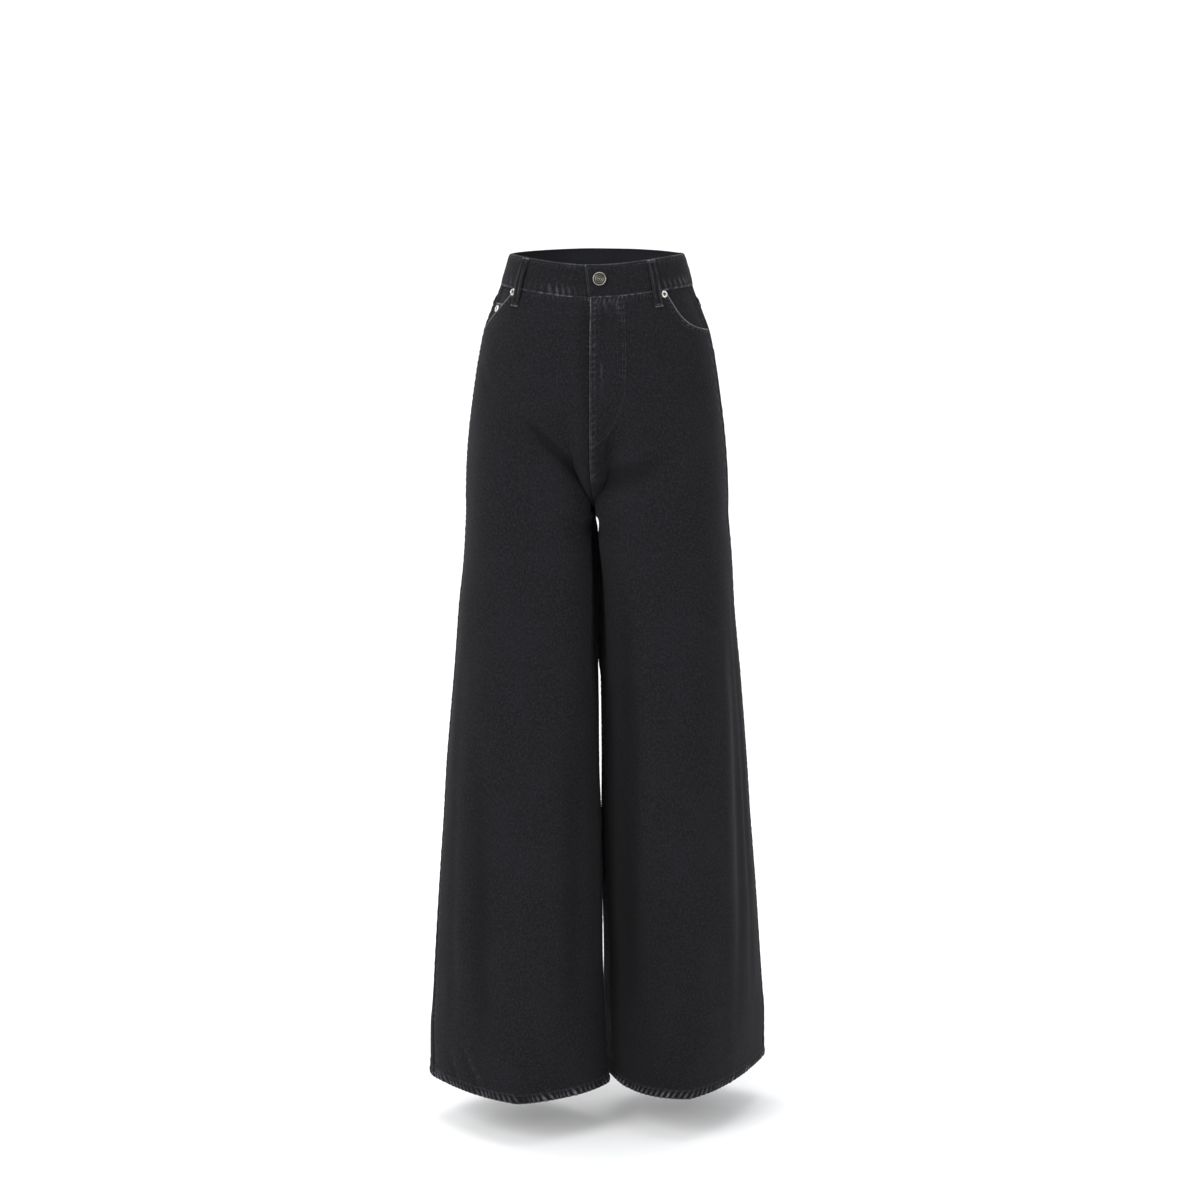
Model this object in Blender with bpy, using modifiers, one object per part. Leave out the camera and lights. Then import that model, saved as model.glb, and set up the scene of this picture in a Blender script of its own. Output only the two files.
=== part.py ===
# Wide-leg jeans in black washed denim, hollow, in the shape they hang in when worn.
# Metres, +Z up. The front faces -Y and the wearer's right side is at -X.
# The origin is the centre of the waist opening, at the height of its side edges.
#
# Every piece is placed in the garment's own coordinates:
#   side    +1 the wearer's left half, -1 the right half
#   across  0 at the centre front (the inseam below the crotch), 1 at the side seam,
#           2 at the centre back (the inseam again below the crotch)
#   level   height under the waist edge, negative downwards
import math

import bmesh
import bpy
import numpy as np
from mathutils import Matrix, Vector

# Cloth
cloth = 0.0012                # one layer of denim
gap = 0.0003                  # between neighbouring pieces
hem_turning = 0.012           # height of the turned-up hem
hem_layers = 0.0026           # its wall, cloth folded on itself
band_outer = 0.0008           # the waistband stands this far proud of the panels
band_wall = 0.0026            # its wall, two layers

# Levels
band_seam = -0.0385           # waistband to panels
crotch = -0.3273
hem = -1.0850
hem_from = hem + hem_turning  # the turning's upper edge
fork_height = 0.100           # height of the curved part of the centre seams above the crotch
fork_share = 0.24             # how far from the centre seams that curve is felt
thigh_height = 0.170          # over this height the hip's oval parts into two thighs
front_dip = 0.0115            # the waist edge hangs lower at the centre front
front_drop = 0.0035           # and the band is this much deeper there
back_rise = 0.0050            # and stands higher at the centre back
dip_end = -0.160              # below this level a level line is level

# Pose
stance_turn = math.radians(5)     # the hips are turned this much against the legs
stance_level = -0.420             # where the turn is complete
seam_forward = {1: 0.016, -1: 0.020}  # the side seams lie this far in front of the widest point

# The hips: half the width, and the reach to the front and to the back.
hips = {
    "columns": ("level", "half_width", "front", "back"),
    "rows": (
        (0.0300, 0.1020, 0.0780, 0.0790),
        (0.0000, 0.1099, 0.0830, 0.0840),
        (-0.0201, 0.1163, 0.0868, 0.0880),
        (-0.0403, 0.1216, 0.0904, 0.0920),
        (-0.0706, 0.1340, 0.0952, 0.0990),
        (-0.0960, 0.1433, 0.0985, 0.1050),
        (-0.1214, 0.1488, 0.1012, 0.1105),
        (-0.1596, 0.1552, 0.1038, 0.1165),
        (-0.1981, 0.1596, 0.1050, 0.1205),
        (-0.2367, 0.1625, 0.1048, 0.1215),
        (-0.2884, 0.1656, 0.1030, 0.1180),
        (-0.3273, 0.1684, 0.1012, 0.1135),
    ),
}
hip_squareness = 2.3

# The legs, in the direction of the stance: where the section's inner and outer ends lie (to the side,
# and front to back), its reach to the front and to the back, and how square its two ends are. Under 2
# an end is pointed, as the wide hems are at their seams.
leg_columns = (
    "level", "inner", "inner_y", "outer", "outer_y", "front", "back", "inner_square", "outer_square",
)
legs = {
    -1: {
        "columns": leg_columns,
        "rows": (
            (-0.3273, -0.00015, 0.008, -0.1684, 0.000, -0.1010, 0.1130, 3.60, 2.15),
            (-0.3330, -0.0030, 0.008, -0.1686, 0.000, -0.1010, 0.1128, 3.60, 2.15),
            (-0.3430, -0.0040, 0.008, -0.1690, 0.000, -0.1012, 0.1122, 3.50, 2.15),
            (-0.3560, -0.0012, 0.006, -0.1696, 0.000, -0.1015, 0.1115, 3.40, 2.15),
            (-0.3900, -0.0002, 0.002, -0.1718, -0.001, -0.1020, 0.1095, 3.00, 2.15),
            (-0.4450, 0.0006, -0.006, -0.1780, -0.002, -0.1032, 0.1060, 2.60, 2.15),
            (-0.5250, 0.0012, -0.012, -0.1845, -0.003, -0.1050, 0.1010, 2.40, 2.15),
            (-0.5480, 0.0020, -0.013, -0.1866, -0.003, -0.1056, 0.1000, 2.40, 2.15),
            (-0.6586, 0.0031, -0.020, -0.1968, -0.004, -0.1085, 0.0950, 2.30, 2.15),
            (-0.7399, 0.0060, -0.024, -0.2021, -0.005, -0.1110, 0.0920, 2.30, 2.15),
            (-0.8219, 0.0070, -0.028, -0.2085, -0.006, -0.1135, 0.0880, 2.20, 2.05),
            (-0.9046, 0.0076, -0.032, -0.2146, -0.007, -0.1170, 0.0840, 2.00, 1.85),
            (-0.9880, 0.0110, -0.036, -0.2206, -0.008, -0.1205, 0.0790, 1.70, 1.60),
            (-1.0160, 0.0130, -0.038, -0.2231, -0.009, -0.1220, 0.0770, 1.60, 1.50),
            (-1.0850, 0.0170, -0.042, -0.2243, -0.010, -0.1250, 0.0730, 1.40, 1.35),
        ),
    },
    1: {
        "columns": leg_columns,
        "rows": (
            (-0.3273, 0.00015, 0.008, 0.1690, 0.000, -0.1010, 0.1130, 3.60, 2.15),
            (-0.3330, 0.0030, 0.008, 0.1694, 0.000, -0.1010, 0.1128, 3.60, 2.15),
            (-0.3430, 0.0040, 0.008, 0.1704, 0.001, -0.1010, 0.1122, 3.50, 2.15),
            (-0.3560, 0.0016, 0.007, 0.1718, 0.002, -0.1010, 0.1115, 3.40, 2.15),
            (-0.3900, 0.0010, 0.006, 0.1745, 0.004, -0.1010, 0.1105, 3.00, 2.15),
            (-0.4450, 0.0018, 0.004, 0.1779, 0.008, -0.1010, 0.1085, 2.60, 2.15),
            (-0.5250, 0.0026, 0.004, 0.1857, 0.014, -0.1010, 0.1055, 2.40, 2.15),
            (-0.5480, 0.0050, 0.004, 0.1880, 0.016, -0.1012, 0.1050, 2.40, 2.15),
            (-0.6586, 0.0062, 0.004, 0.1976, 0.026, -0.1020, 0.1030, 2.30, 2.15),
            (-0.7399, 0.0058, 0.006, 0.2039, 0.034, -0.1030, 0.1030, 2.30, 2.15),
            (-0.8219, 0.0068, 0.008, 0.2114, 0.042, -0.1040, 0.1040, 2.25, 2.05),
            (-0.9046, 0.0090, 0.012, 0.2182, 0.050, -0.1050, 0.1050, 2.10, 1.85),
            (-0.9880, 0.0095, 0.016, 0.2252, 0.058, -0.1062, 0.1060, 1.95, 1.60),
            (-1.0160, 0.0104, 0.017, 0.2280, 0.060, -0.1066, 0.1065, 1.90, 1.50),
            (-1.0850, 0.0114, 0.022, 0.2292, 0.064, -0.1080, 0.1080, 1.80, 1.35),
        ),
    },
}

# Waistband: how far its top end runs past the centre front at the upper corner and at the lower one,
# and how far the under end runs on below it. All across.
band_end_top = 0.050
band_end_foot = 0.008
band_under = 0.25
under_from = 3.84             # the under end drops inward between these two places round the waist
under_to = 3.92

# Back: the yoke's lower seam at the side and at the centre, and the level below which the panel's
# rows are level.
yoke_side_level = -0.0620
yoke_centre_level = -0.0950
back_even = -0.2000

# The pocket openings: (across, level) along each edge, from the waistband to the side seam.
openings = {
    1: (
        (0.615, -0.0370), (0.642, -0.0500), (0.692, -0.0725),
        (0.775, -0.0860), (0.880, -0.0915), (1.030, -0.0940),
    ),
    -1: (
        (0.680, -0.0370), (0.725, -0.0480), (0.800, -0.0640),
        (0.880, -0.0785), (0.940, -0.0870), (1.030, -0.0950),
    ),
}
cutter_top = 0.2              # a cutter's upper edge, as a share of the way down to the opening's edge
cutter_reach = 0.006          # how far it stands out on both faces

# Pocket facings, under the front panels. The right one lies deeper, to leave room for the coin pocket.
facing_out = {1: -(cloth + gap), -1: -2 * (cloth + gap)}
facing_columns = (6, 12)
facing_levels = 8

coin_side = -1
coin_out = -(cloth + gap)
coin_from = 0.58              # across
coin_to = 0.985
coin_top = -0.0600
coin_foot = -0.1040

# Belt loops: place round the waist, and the level of the lower end.
loop_columns = ("name", "path", "foot")
loops = (
    ("belt_loop_front_left", 0.533, -0.0580),
    ("belt_loop_side_left", 1.300, -0.0580),
    ("belt_loop_back", 2.000, -0.0580),
    ("belt_loop_side_right", 2.700, -0.0580),
    ("belt_loop_front_right", 3.363, -0.0600),
)
loop_top = -0.0012
loop_width = 0.0100
loop_wall = 0.0018
loop_rise = (                 # share of its length, height of its underside over the panels
    (0.00, 0.0012), (0.10, 0.0013), (0.35, 0.0032), (0.55, 0.0033),
    (0.72, 0.0024), (0.88, 0.0006), (1.00, 0.0004),
)

# Back pockets: plain patches.
patch_seat = 0.0006           # under a patch, so that it clears the panel's facets
pocket_middle = 1.47          # across
pocket_top = -0.1220
pocket_height = 0.1280
pocket_width = 0.1240
pocket_point = 0.0180         # the lower edge's point
pocket_taper = 0.10           # narrower at the foot by this share
back_samples = 181
shin_foot = 0.0196            # last level over the hem turning
turning_step = 0.0004         # height of the step from one layer to three

# Metal trims: side, across, level, and how far out the cloth under them lies.
trim_seat = 0.0004            # under a trim, so that it clears the cloth's facets
button_place = (1, 0.075, -0.0165, band_outer)
button_profile = (
    (0.0, 0.0024), (0.0030, 0.0026), (0.0060, 0.0026), (0.0072, 0.0034), (0.0082, 0.0030),
    (0.0086, 0.0020), (0.0082, 0.0011), (0.0042, 0.0009), (0.0040, 0.0), (0.0, 0.0),
)
rivets = (
    ("rivet_pocket_left", 1, 0.600, -0.0435, 0.0),
    ("rivet_pocket_right", -1, 0.700, -0.0435, 0.0),
    ("rivet_coin_pocket", -1, 0.862, -0.0668, coin_out),
)
rivet_profile = (
    (0.0, 0.0007), (0.0016, 0.0007), (0.0024, 0.0015), (0.0038, 0.0015),
    (0.0046, 0.0007), (0.0046, 0.0), (0.0, 0.0),
)

# How finely the solids are cut.
ring_samples = 1441           # points along a section before it is shared out
across_samples = 241          # shares kept from each section
front_columns = tuple(np.linspace(0, 1, 13))
back_columns = tuple(np.linspace(1, 2, 13))
hip_levels = [
    band_seam - gap / 2, -0.0500, -0.0600, -0.0700, -0.0800, -0.0900, -0.1030, -0.1180, -0.1400, -0.1620,
    -0.1840, -0.2060,
]
thigh_levels = [-0.3330, -0.3430, -0.3560, -0.3900, -0.4300]

# Large folds: one end and the other (across, level), then width and depth of the trough.
# A negative depth is a ridge.
fold_columns = ("side", "from_across", "from_level", "to_across", "to_level", "width", "depth")
folds = (
    (-1, 0.42, -0.215, 0.10, -0.318, 0.013, 0.0034),
    (-1, 0.30, -0.262, 0.04, -0.322, 0.009, 0.0030),
    (1, 0.14, -0.224, 0.07, -0.262, 0.008, 0.0024),
    (1, 0.52, -0.262, 0.12, -0.300, 0.014, 0.0034),
    (1, 0.34, -0.420, 0.29, -0.960, 0.016, 0.0045),
    (1, 0.86, -0.470, 0.72, -1.020, 0.013, 0.0032),
    (1, 0.60, -0.560, 0.52, -1.000, 0.020, -0.0030),
    (-1, 0.30, -0.600, 0.26, -1.010, 0.018, 0.0030),
    (-1, 0.72, -0.640, 0.66, -1.030, 0.018, 0.0030),
    (1, 1.45, -0.330, 1.25, -0.300, 0.014, 0.0035),
    (-1, 1.48, -0.335, 1.24, -0.296, 0.014, 0.0035),
    (1, 1.70, -0.420, 1.62, -0.900, 0.018, 0.0040),
    (-1, 1.68, -0.430, 1.60, -0.920, 0.018, 0.0040),
    (1, 1.30, -0.560, 1.34, -1.020, 0.020, 0.0035),
    (-1, 1.32, -0.580, 1.36, -1.030, 0.020, 0.0035),
)


def smooth(value):
    value = np.clip(value, 0.0, 1.0)
    return value * value * (3.0 - 2.0 * value)


def column(table, name, level):
    # A smooth curve through a table's named column that never swings past its rows.
    place = table["columns"].index(name)
    levels = np.array([row[0] for row in table["rows"]])[::-1]
    values = np.array([row[place] for row in table["rows"]])[::-1]
    step = np.diff(levels)
    slope = np.diff(values) / step
    pairs = slope[:-1] * slope[1:]
    total = slope[:-1] + slope[1:]
    inner = np.where(pairs > 0, 2 * pairs / np.where(total == 0, 1, total), 0)
    tangent = np.concatenate([slope[:1], inner, slope[-1:]])
    level = np.asarray(level, float)
    i = np.clip(np.searchsorted(levels, level) - 1, 0, len(step) - 1)
    t = np.clip((level - levels[i]) / step[i], 0.0, 1.0)
    start = values[i] * (1 + 2 * t) * (1 - t) ** 2 + values[i + 1] * t * t * (3 - 2 * t)
    return start + step[i] * (tangent[i] * t * (1 - t) ** 2 + tangent[i + 1] * t * t * (t - 1))


def share_out(x, y, side_index, forward):
    # Points at even shares of each half: 0 to 1 in front of the side seam, 1 to 2 behind it.
    run = np.concatenate([[0], np.cumsum(np.hypot(np.diff(x), np.diff(y)))])
    seam = run[side_index] - forward
    across = np.linspace(0, 2, across_samples)
    wanted = np.where(across <= 1, across * seam, seam + (across - 1) * (run[-1] - seam))
    points = np.stack([np.interp(wanted, run, x), np.interp(wanted, run, y)], axis=1)
    return points, seam, run[-1] - seam


def hip_section(side, level):
    angle = np.linspace(0, math.pi, ring_samples)
    power = 2 / hip_squareness
    x = side * column(hips, "half_width", level) * np.sin(angle) ** power
    reach = np.where(np.cos(angle) > 0, -column(hips, "front", level), column(hips, "back", level))
    y = reach * np.abs(np.cos(angle)) ** power
    return share_out(x, y, ring_samples // 2, seam_forward[side])


def leg_section(side, level):
    table = legs[side]
    level = min(level, crotch)
    inner, outer = column(table, "inner", level), column(table, "outer", level)
    inner_y, outer_y = column(table, "inner_y", level), column(table, "outer_y", level)
    angle = np.linspace(0, 2 * math.pi, ring_samples)
    inner_square, outer_square = column(table, "inner_square", level), column(table, "outer_square", level)
    square = np.where(np.cos(angle) > 0, inner_square, outer_square)
    along = np.sign(np.cos(angle)) * np.abs(np.cos(angle)) ** (2 / square)
    deep = np.abs(np.sin(angle)) ** (2 / square)
    middle = (inner_y + outer_y) / 2
    reach = np.where(
        np.sin(angle) > 0,
        column(table, "front", level) - middle,
        column(table, "back", level) - middle,
    )
    x = (inner + outer) / 2 - (outer - inner) / 2 * along
    y = middle - (outer_y - inner_y) / 2 * along + reach * deep
    turn = stance_turn * smooth((crotch - level) / (crotch - stance_level))
    x, y = x * math.cos(turn) - y * math.sin(turn), x * math.sin(turn) + y * math.cos(turn)
    return share_out(x, y, ring_samples // 2, seam_forward[side])


def level_list():
    # Every 4 mm, and closer where the centre seams curve under.
    upper = np.arange(0.030, crotch + fork_height, -0.004)
    fork = crotch + fork_height * (1 - np.sin(np.linspace(0, math.pi / 2, 40)))
    lower = crotch - 0.004 * (np.linspace(0, 1, 8)[1:] ** 1.5) * 3
    rest = np.linspace(lower[-1], hem - 0.002, 190)[1:]
    return np.concatenate([upper, fork, lower, rest])


def fold_depth(side, across, level, girths):
    depth = np.zeros(np.broadcast(across, level).shape)
    for row in folds:
        fold = dict(zip(fold_columns, row))
        if fold["side"] != side:
            continue
        girth = np.where(fold["from_across"] < 1, girths[0], girths[1])
        dx = (fold["to_across"] - fold["from_across"]) * girth
        dz = fold["to_level"] - fold["from_level"]
        px = (across - fold["from_across"]) * girth
        pz = level - fold["from_level"]
        length2 = dx * dx + dz * dz
        t = np.clip((px * dx + pz * dz) / length2, 0, 1)
        off = np.hypot(px - t * dx, pz - t * dz)
        taper = np.sin(math.pi * np.clip(t * 0.9 + 0.05, 0, 1)) ** 0.7
        depth += fold["depth"] * taper * np.exp(-((off / fold["width"]) ** 2))
    return depth


def unit(vectors):
    return vectors / np.maximum(np.linalg.norm(vectors, axis=-1, keepdims=True), 1e-12)


def facing(points, levels, side):
    # Outward directions of the cloth, the same for both pieces that meet at a seam.
    above = levels >= crotch - 1e-9
    padded = np.concatenate([points[:, -2:-1], points, points[:, 1:2]], axis=1)
    along = padded[:, 2:] - padded[:, :-2]
    up = -np.gradient(points, -levels, axis=0)
    normals = unit(np.cross(along, up)) * side
    for place, way in ((0, -1), (-1, 1)):
        rise = up[:, place]
        centre = np.stack([np.zeros(len(levels)), way * rise[:, 2], -way * rise[:, 1]], axis=1)
        normals[above, place] = unit(centre)[above]
    return normals


def garment_half(side):
    levels = level_list()
    across = np.linspace(0, 2, across_samples)
    points = np.zeros((len(levels), across_samples, 3))
    girths = np.zeros((len(levels), 2))
    for k, level in enumerate(levels):
        leg, *leg_girths = leg_section(side, level)
        if level < crotch:
            points[k, :, :2], girths[k] = leg, leg_girths
        else:
            hip, *hip_girths = hip_section(side, level)
            fall = np.clip((crotch + fork_height - level) / fork_height, 0, 1)
            fork = 1 - math.sqrt(1 - fall * fall)
            thigh = smooth((crotch + thigh_height - level) / thigh_height)
            from_centre = np.minimum(across, 2 - across)
            share = smooth(from_centre / fork_share)
            weight = ((1 - share) * fork + share * thigh)[:, None]
            points[k, :, :2] = (1 - weight) * hip + weight * leg
            mean = float(weight.mean())
            girths[k] = (1 - mean) * np.array(hip_girths) + mean * np.array(leg_girths)
        fade = smooth((level - dip_end) / -dip_end)
        front = np.cos(np.clip(across, 0, 1) * math.pi / 2) ** 2
        back = np.sin((np.clip(across, 1, 2) - 1) * math.pi / 2) ** 2
        dip = front_dip + front_drop * smooth(level / band_seam)
        points[k, :, 2] = level + fade * (back_rise * back - dip * front)
    normals = facing(points, levels, side)
    depth = fold_depth(side, across[None, :], levels[:, None], girths.T[:, :, None])
    points = points - normals * depth[..., None]
    return {
        "levels": levels,
        "points": points,
        "normals": facing(points, levels, side),
        "girths": girths,
    }


halves = {side: garment_half(side) for side in (1, -1)}


def read(field, row, place):
    r = np.clip(np.floor(row).astype(int), 0, field.shape[0] - 2)
    c = np.clip(np.floor(place).astype(int), 0, field.shape[1] - 2)
    fr = (row - r)[..., None]
    fc = (place - c)[..., None]
    above = field[r, c] * (1 - fc) + field[r, c + 1] * fc
    below = field[r + 1, c] * (1 - fc) + field[r + 1, c + 1] * fc
    return above * (1 - fr) + below * fr


def on_cloth(side, across, level, out):
    # The point this far out from the cloth's face.
    half = halves[side]
    across, level, out = np.broadcast_arrays(across, level, out)
    row = np.interp(-level, -half["levels"], np.arange(len(half["levels"])))
    place = np.clip(across, 0, 2) / 2 * (across_samples - 1)
    points = read(half["points"], row, place)
    points = points + unit(read(half["normals"], row, place)) * out[..., None]
    above = level >= crotch - 1e-9
    points[..., 0] = np.where(above, side * np.maximum(side * points[..., 0], gap / 2), points[..., 0])
    return points


def girth(side, level, half=0):
    # Length of the front half (0) or the back half (1) of a section.
    table = halves[side]
    return np.interp(-level, -table["levels"], table["girths"][:, half])


def around_waist(path, level, out):
    # From the centre front (0) round the left side to the centre back (2) and on to the front (4).
    path, level, out = np.broadcast_arrays(path, level, out)
    left = np.where(path > 4, path - 4, path)
    on_left = (left >= 0) & (left <= 2)
    across = np.where(on_left, left, np.where(path < 0, -path, 4 - path))
    return np.where(
        on_left[..., None],
        on_cloth(1, across, level, out),
        on_cloth(-1, across, level, out),
    )


def material(name, colour, roughness, metallic=0.0):
    made = bpy.data.materials.new(name)
    made.use_nodes = True
    shader = made.node_tree.nodes["Principled BSDF"]
    shader.inputs["Base Color"].default_value = (*colour, 1)
    shader.inputs["Roughness"].default_value = roughness
    shader.inputs["Metallic"].default_value = metallic
    return made


def keep(name, mesh_data, collection, finish):
    piece = bpy.data.objects.new(name, mesh_data)
    mesh_data.materials.append(finish)
    collection.objects.link(piece)
    return piece


def slab(name, shares_across, shares_down, place, collection, finish):
    # A flat slab of cells, whose corners are then carried to their places on the garment.
    # place(across, down, second face) gives the points.
    columns, rows = len(shares_across) - 1, len(shares_down) - 1
    cells = bmesh.new()
    bmesh.ops.create_grid(cells, x_segments=columns, y_segments=rows, size=0.5)
    second = bmesh.ops.extrude_face_region(cells, geom=cells.faces[:], use_keep_orig=True)
    for item in second["geom"]:
        if isinstance(item, bmesh.types.BMVert):
            item.co.z = 1
    corners = np.array([tuple(vert.co) for vert in cells.verts])
    across = np.asarray(shares_across)[np.rint((corners[:, 0] + 0.5) * columns).astype(int)]
    down = np.asarray(shares_down)[np.rint((0.5 - corners[:, 1]) * rows).astype(int)]
    points = place(across, down, corners[:, 2] > 0.5)
    for vert, point in zip(cells.verts, points):
        vert.co = point
    bmesh.ops.recalc_face_normals(cells, faces=cells.faces[:])
    data = bpy.data.meshes.new(name)
    cells.to_mesh(data)
    cells.free()
    data.shade_smooth()
    data.set_sharp_from_angle(angle=math.radians(40))
    return keep(name, data, collection, finish)


def seam_allowance(side, level, half):
    # Half the gap at a seam, as a share of this half of the section.
    return gap / 2 / girth(side, level, half)


def front_levels():
    return hip_levels + leg_levels()


def leg_levels():
    fork = [crotch + fork_height * (1 - math.sin(k * math.pi / 16)) for k in range(9)]
    shin = list(np.linspace(thigh_levels[-1], hem_from + shin_foot, 11)[1:])
    return fork + thigh_levels + shin + [hem_from + turning_step, hem_from, hem]


def wall_inner(level):
    return np.where(level <= hem_from + 1e-6, -hem_layers, -cloth)


def front_across(side, across, level):
    edge = seam_allowance(side, level, 0)
    return edge + across * (1 - 2 * edge)


def back_across(side, across, level):
    edge = seam_allowance(side, level, 1)
    return 1 + edge + (across - 1) * (1 - 2 * edge)


def front_panel(side, name, collection, finish):
    def place(across, level, inner):
        across = front_across(side, across, level)
        return on_cloth(side, across, level, np.where(inner, wall_inner(level), 0))

    return slab(name, front_columns, front_levels(), place, collection, finish)


def yoke_seam(across):
    return yoke_side_level + (yoke_centre_level - yoke_side_level) * (across - 1)


def back_panel(side, name, collection, finish):
    def place(across, down, inner):
        top = yoke_seam(across) - gap / 2
        level = np.where(down > back_even, top + (down / back_even) * (back_even - top), down)
        across = back_across(side, across, level)
        return on_cloth(side, across, level, np.where(inner, wall_inner(level), 0))

    downs = list(np.linspace(0, back_even, 6)) + leg_levels()
    return slab(name, back_columns, downs, place, collection, finish)


def yoke(side, name, collection, finish):
    def place(across, down, inner):
        top = band_seam - gap / 2
        level = top + down * (yoke_seam(across) + gap / 2 - top)
        across = back_across(side, across, level)
        return on_cloth(side, across, level, np.where(inner, -cloth, 0))

    return slab(name, back_columns, (0, 0.5, 1), place, collection, finish)


def opening_cutter(side, collection, finish):
    # Follows the opening's edge, and runs on past the side seam in the direction of the cloth.
    shares = np.linspace(openings[side][0][0], openings[side][-1][0], 15)
    edges = np.interp(shares, [row[0] for row in openings[side]], [row[1] for row in openings[side]])

    def place(across, down, inner):
        level = down * np.interp(across, shares, edges)
        on_panel = np.minimum(across, 1)
        point = on_cloth(side, on_panel, level, np.where(inner, -cutter_reach, cutter_reach))
        point[:, 1] += (across - on_panel) * girth(side, level)
        return point

    cutter = slab("pocket_cut", shares, (cutter_top, 1), place, collection, finish)
    cutter.hide_render = True
    cutter.display_type = "WIRE"
    return cutter


def cut_opening(panel, cutter):
    cut = panel.modifiers.new("pocket", "BOOLEAN")
    cut.operation = "DIFFERENCE"
    cut.solver = "EXACT"
    cut.object = cutter


def pocket_facing(side, name, collection, finish):
    # Uses the front panel's own columns and levels, moved in.
    def place(across, level, inner):
        across = front_across(side, across, level)
        return on_cloth(side, across, level, facing_out[side] - np.where(inner, cloth, 0))

    columns = front_columns[facing_columns[0] : facing_columns[1] + 1]
    return slab(name, columns, front_levels()[:facing_levels], place, collection, finish)


def coin_pocket(collection, finish):
    side = coin_side

    def place(across, level, inner):
        across = front_across(side, across, level)
        return on_cloth(side, across, level, coin_out - np.where(inner, cloth, 0))

    columns = [share for share in front_columns if coin_from < share < coin_to] + [coin_to]
    levels = [coin_top] + [level for level in front_levels() if coin_foot < level < coin_top - 0.001]
    return slab("coin_pocket", columns, levels, place, collection, finish)


def waistband(collection, finish):
    # Its top end lies over the under end at the centre front, where the under end drops inward.
    def place(path, down, inner):
        end = -(band_end_top + (band_end_foot - band_end_top) * down)
        path = np.where(path < 0, end, path)
        level = down * (band_seam + gap / 2)
        drop = (band_wall + gap) * smooth((path - under_from) / (under_to - under_from))
        out = band_outer - drop - np.where(inner, band_wall, 0)
        return around_waist(path, level, out)

    round_waist = list(np.linspace(0, under_from, 45))
    dropping = list(np.linspace(under_from, under_to, 5)[1:])
    tucked = list(np.linspace(under_to, 4 + band_under, 9)[1:])
    return slab("waistband", [-1] + round_waist + dropping + tucked, (0, 0.5, 1), place, collection, finish)


def belt_loop(row, collection, finish):
    loop = dict(zip(loop_columns, row))
    side = 1 if loop["path"] <= 2 else -1
    half = 1 if 1 < loop["path"] < 3 else 0

    def place(across, down, inner):
        level = loop_top + down * (loop["foot"] - loop_top)
        share = across * loop_width / girth(side, level, half)
        under = np.interp(down, [at for at, _ in loop_rise], [high for _, high in loop_rise])
        return around_waist(loop["path"] + share, level, under + np.where(inner, 0, loop_wall))

    return slab(loop["name"], (-0.5, 0, 0.5), np.linspace(0, 1, 11), place, collection, finish)


def back_pocket(side, name, collection, finish):
    shares = np.linspace(1, 2, back_samples)

    @np.vectorize
    def share_beside(level, away):
        # The share at this distance along the cloth from the pocket's middle.
        points = on_cloth(side, shares, level, 0)
        run = np.concatenate([[0], np.cumsum(np.linalg.norm(np.diff(points, axis=0), axis=1))])
        return np.interp(np.interp(pocket_middle, shares, run) + away, run, shares)

    def place(across, down, inner):
        level = pocket_top - down * (pocket_height + pocket_point * (1 - 2 * np.abs(across)))
        away = across * pocket_width * (1 - pocket_taper * down)
        return on_cloth(side, share_beside(level, away), level, patch_seat + np.where(inner, 0, cloth))

    return slab(name, np.linspace(-0.5, 0.5, 13), np.linspace(0, 1, 11), place, collection, finish)


def turned(name, profile, steps, trim_place, collection, finish):
    # A metal trim turned from its profile (radius, height), seated on the cloth.
    data = bpy.data.meshes.new(name)
    edges = [(k, k + 1) for k in range(len(profile) - 1)]
    data.from_pydata([(radius, 0, height) for radius, height in profile], edges, [])
    trim = keep(name, data, collection, finish)
    screw = trim.modifiers.new("turned", "SCREW")
    screw.steps = screw.render_steps = steps
    screw.use_merge_vertices = True
    screw.merge_threshold = 0.00001
    screw.use_smooth_shade = True
    side, across, level, out = trim_place
    at, above = on_cloth(side, across, level, np.array([out + trim_seat, out + trim_seat + 0.001]))
    turn = Vector(above - at).to_track_quat("Z", "Y").to_matrix().to_4x4()
    trim.matrix_world = Matrix.Translation(Vector(at)) @ turn
    return trim


def build():
    for item in list(bpy.data.objects):
        bpy.data.objects.remove(item)
    jeans = bpy.data.collections.new("wide_leg_jeans")
    cutters = bpy.data.collections.new("cutters")
    bpy.context.scene.collection.children.link(jeans)
    bpy.context.scene.collection.children.link(cutters)
    denim = material("black_washed_denim", (0.018, 0.018, 0.021), 0.9)
    button_nickel = material("antique_nickel", (0.30, 0.29, 0.28), 0.35, 1.0)
    rivet_nickel = material("bright_nickel", (0.55, 0.54, 0.52), 0.30, 1.0)
    for side, name in ((1, "left"), (-1, "right")):
        front = front_panel(side, "front_" + name, jeans, denim)
        cut_opening(front, opening_cutter(side, cutters, denim))
        back_panel(side, "back_" + name, jeans, denim)
        yoke(side, "yoke_" + name, jeans, denim)
        pocket_facing(side, "pocket_facing_" + name, jeans, denim)
        back_pocket(side, "back_pocket_" + name, jeans, denim)
    coin_pocket(jeans, denim)
    waistband(jeans, denim)
    for row in loops:
        belt_loop(row, jeans, denim)
    turned("button", button_profile, 24, button_place, jeans, button_nickel)
    for name, *trim_place in rivets:
        turned(name, rivet_profile, 16, trim_place, jeans, rivet_nickel)


build()
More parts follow.
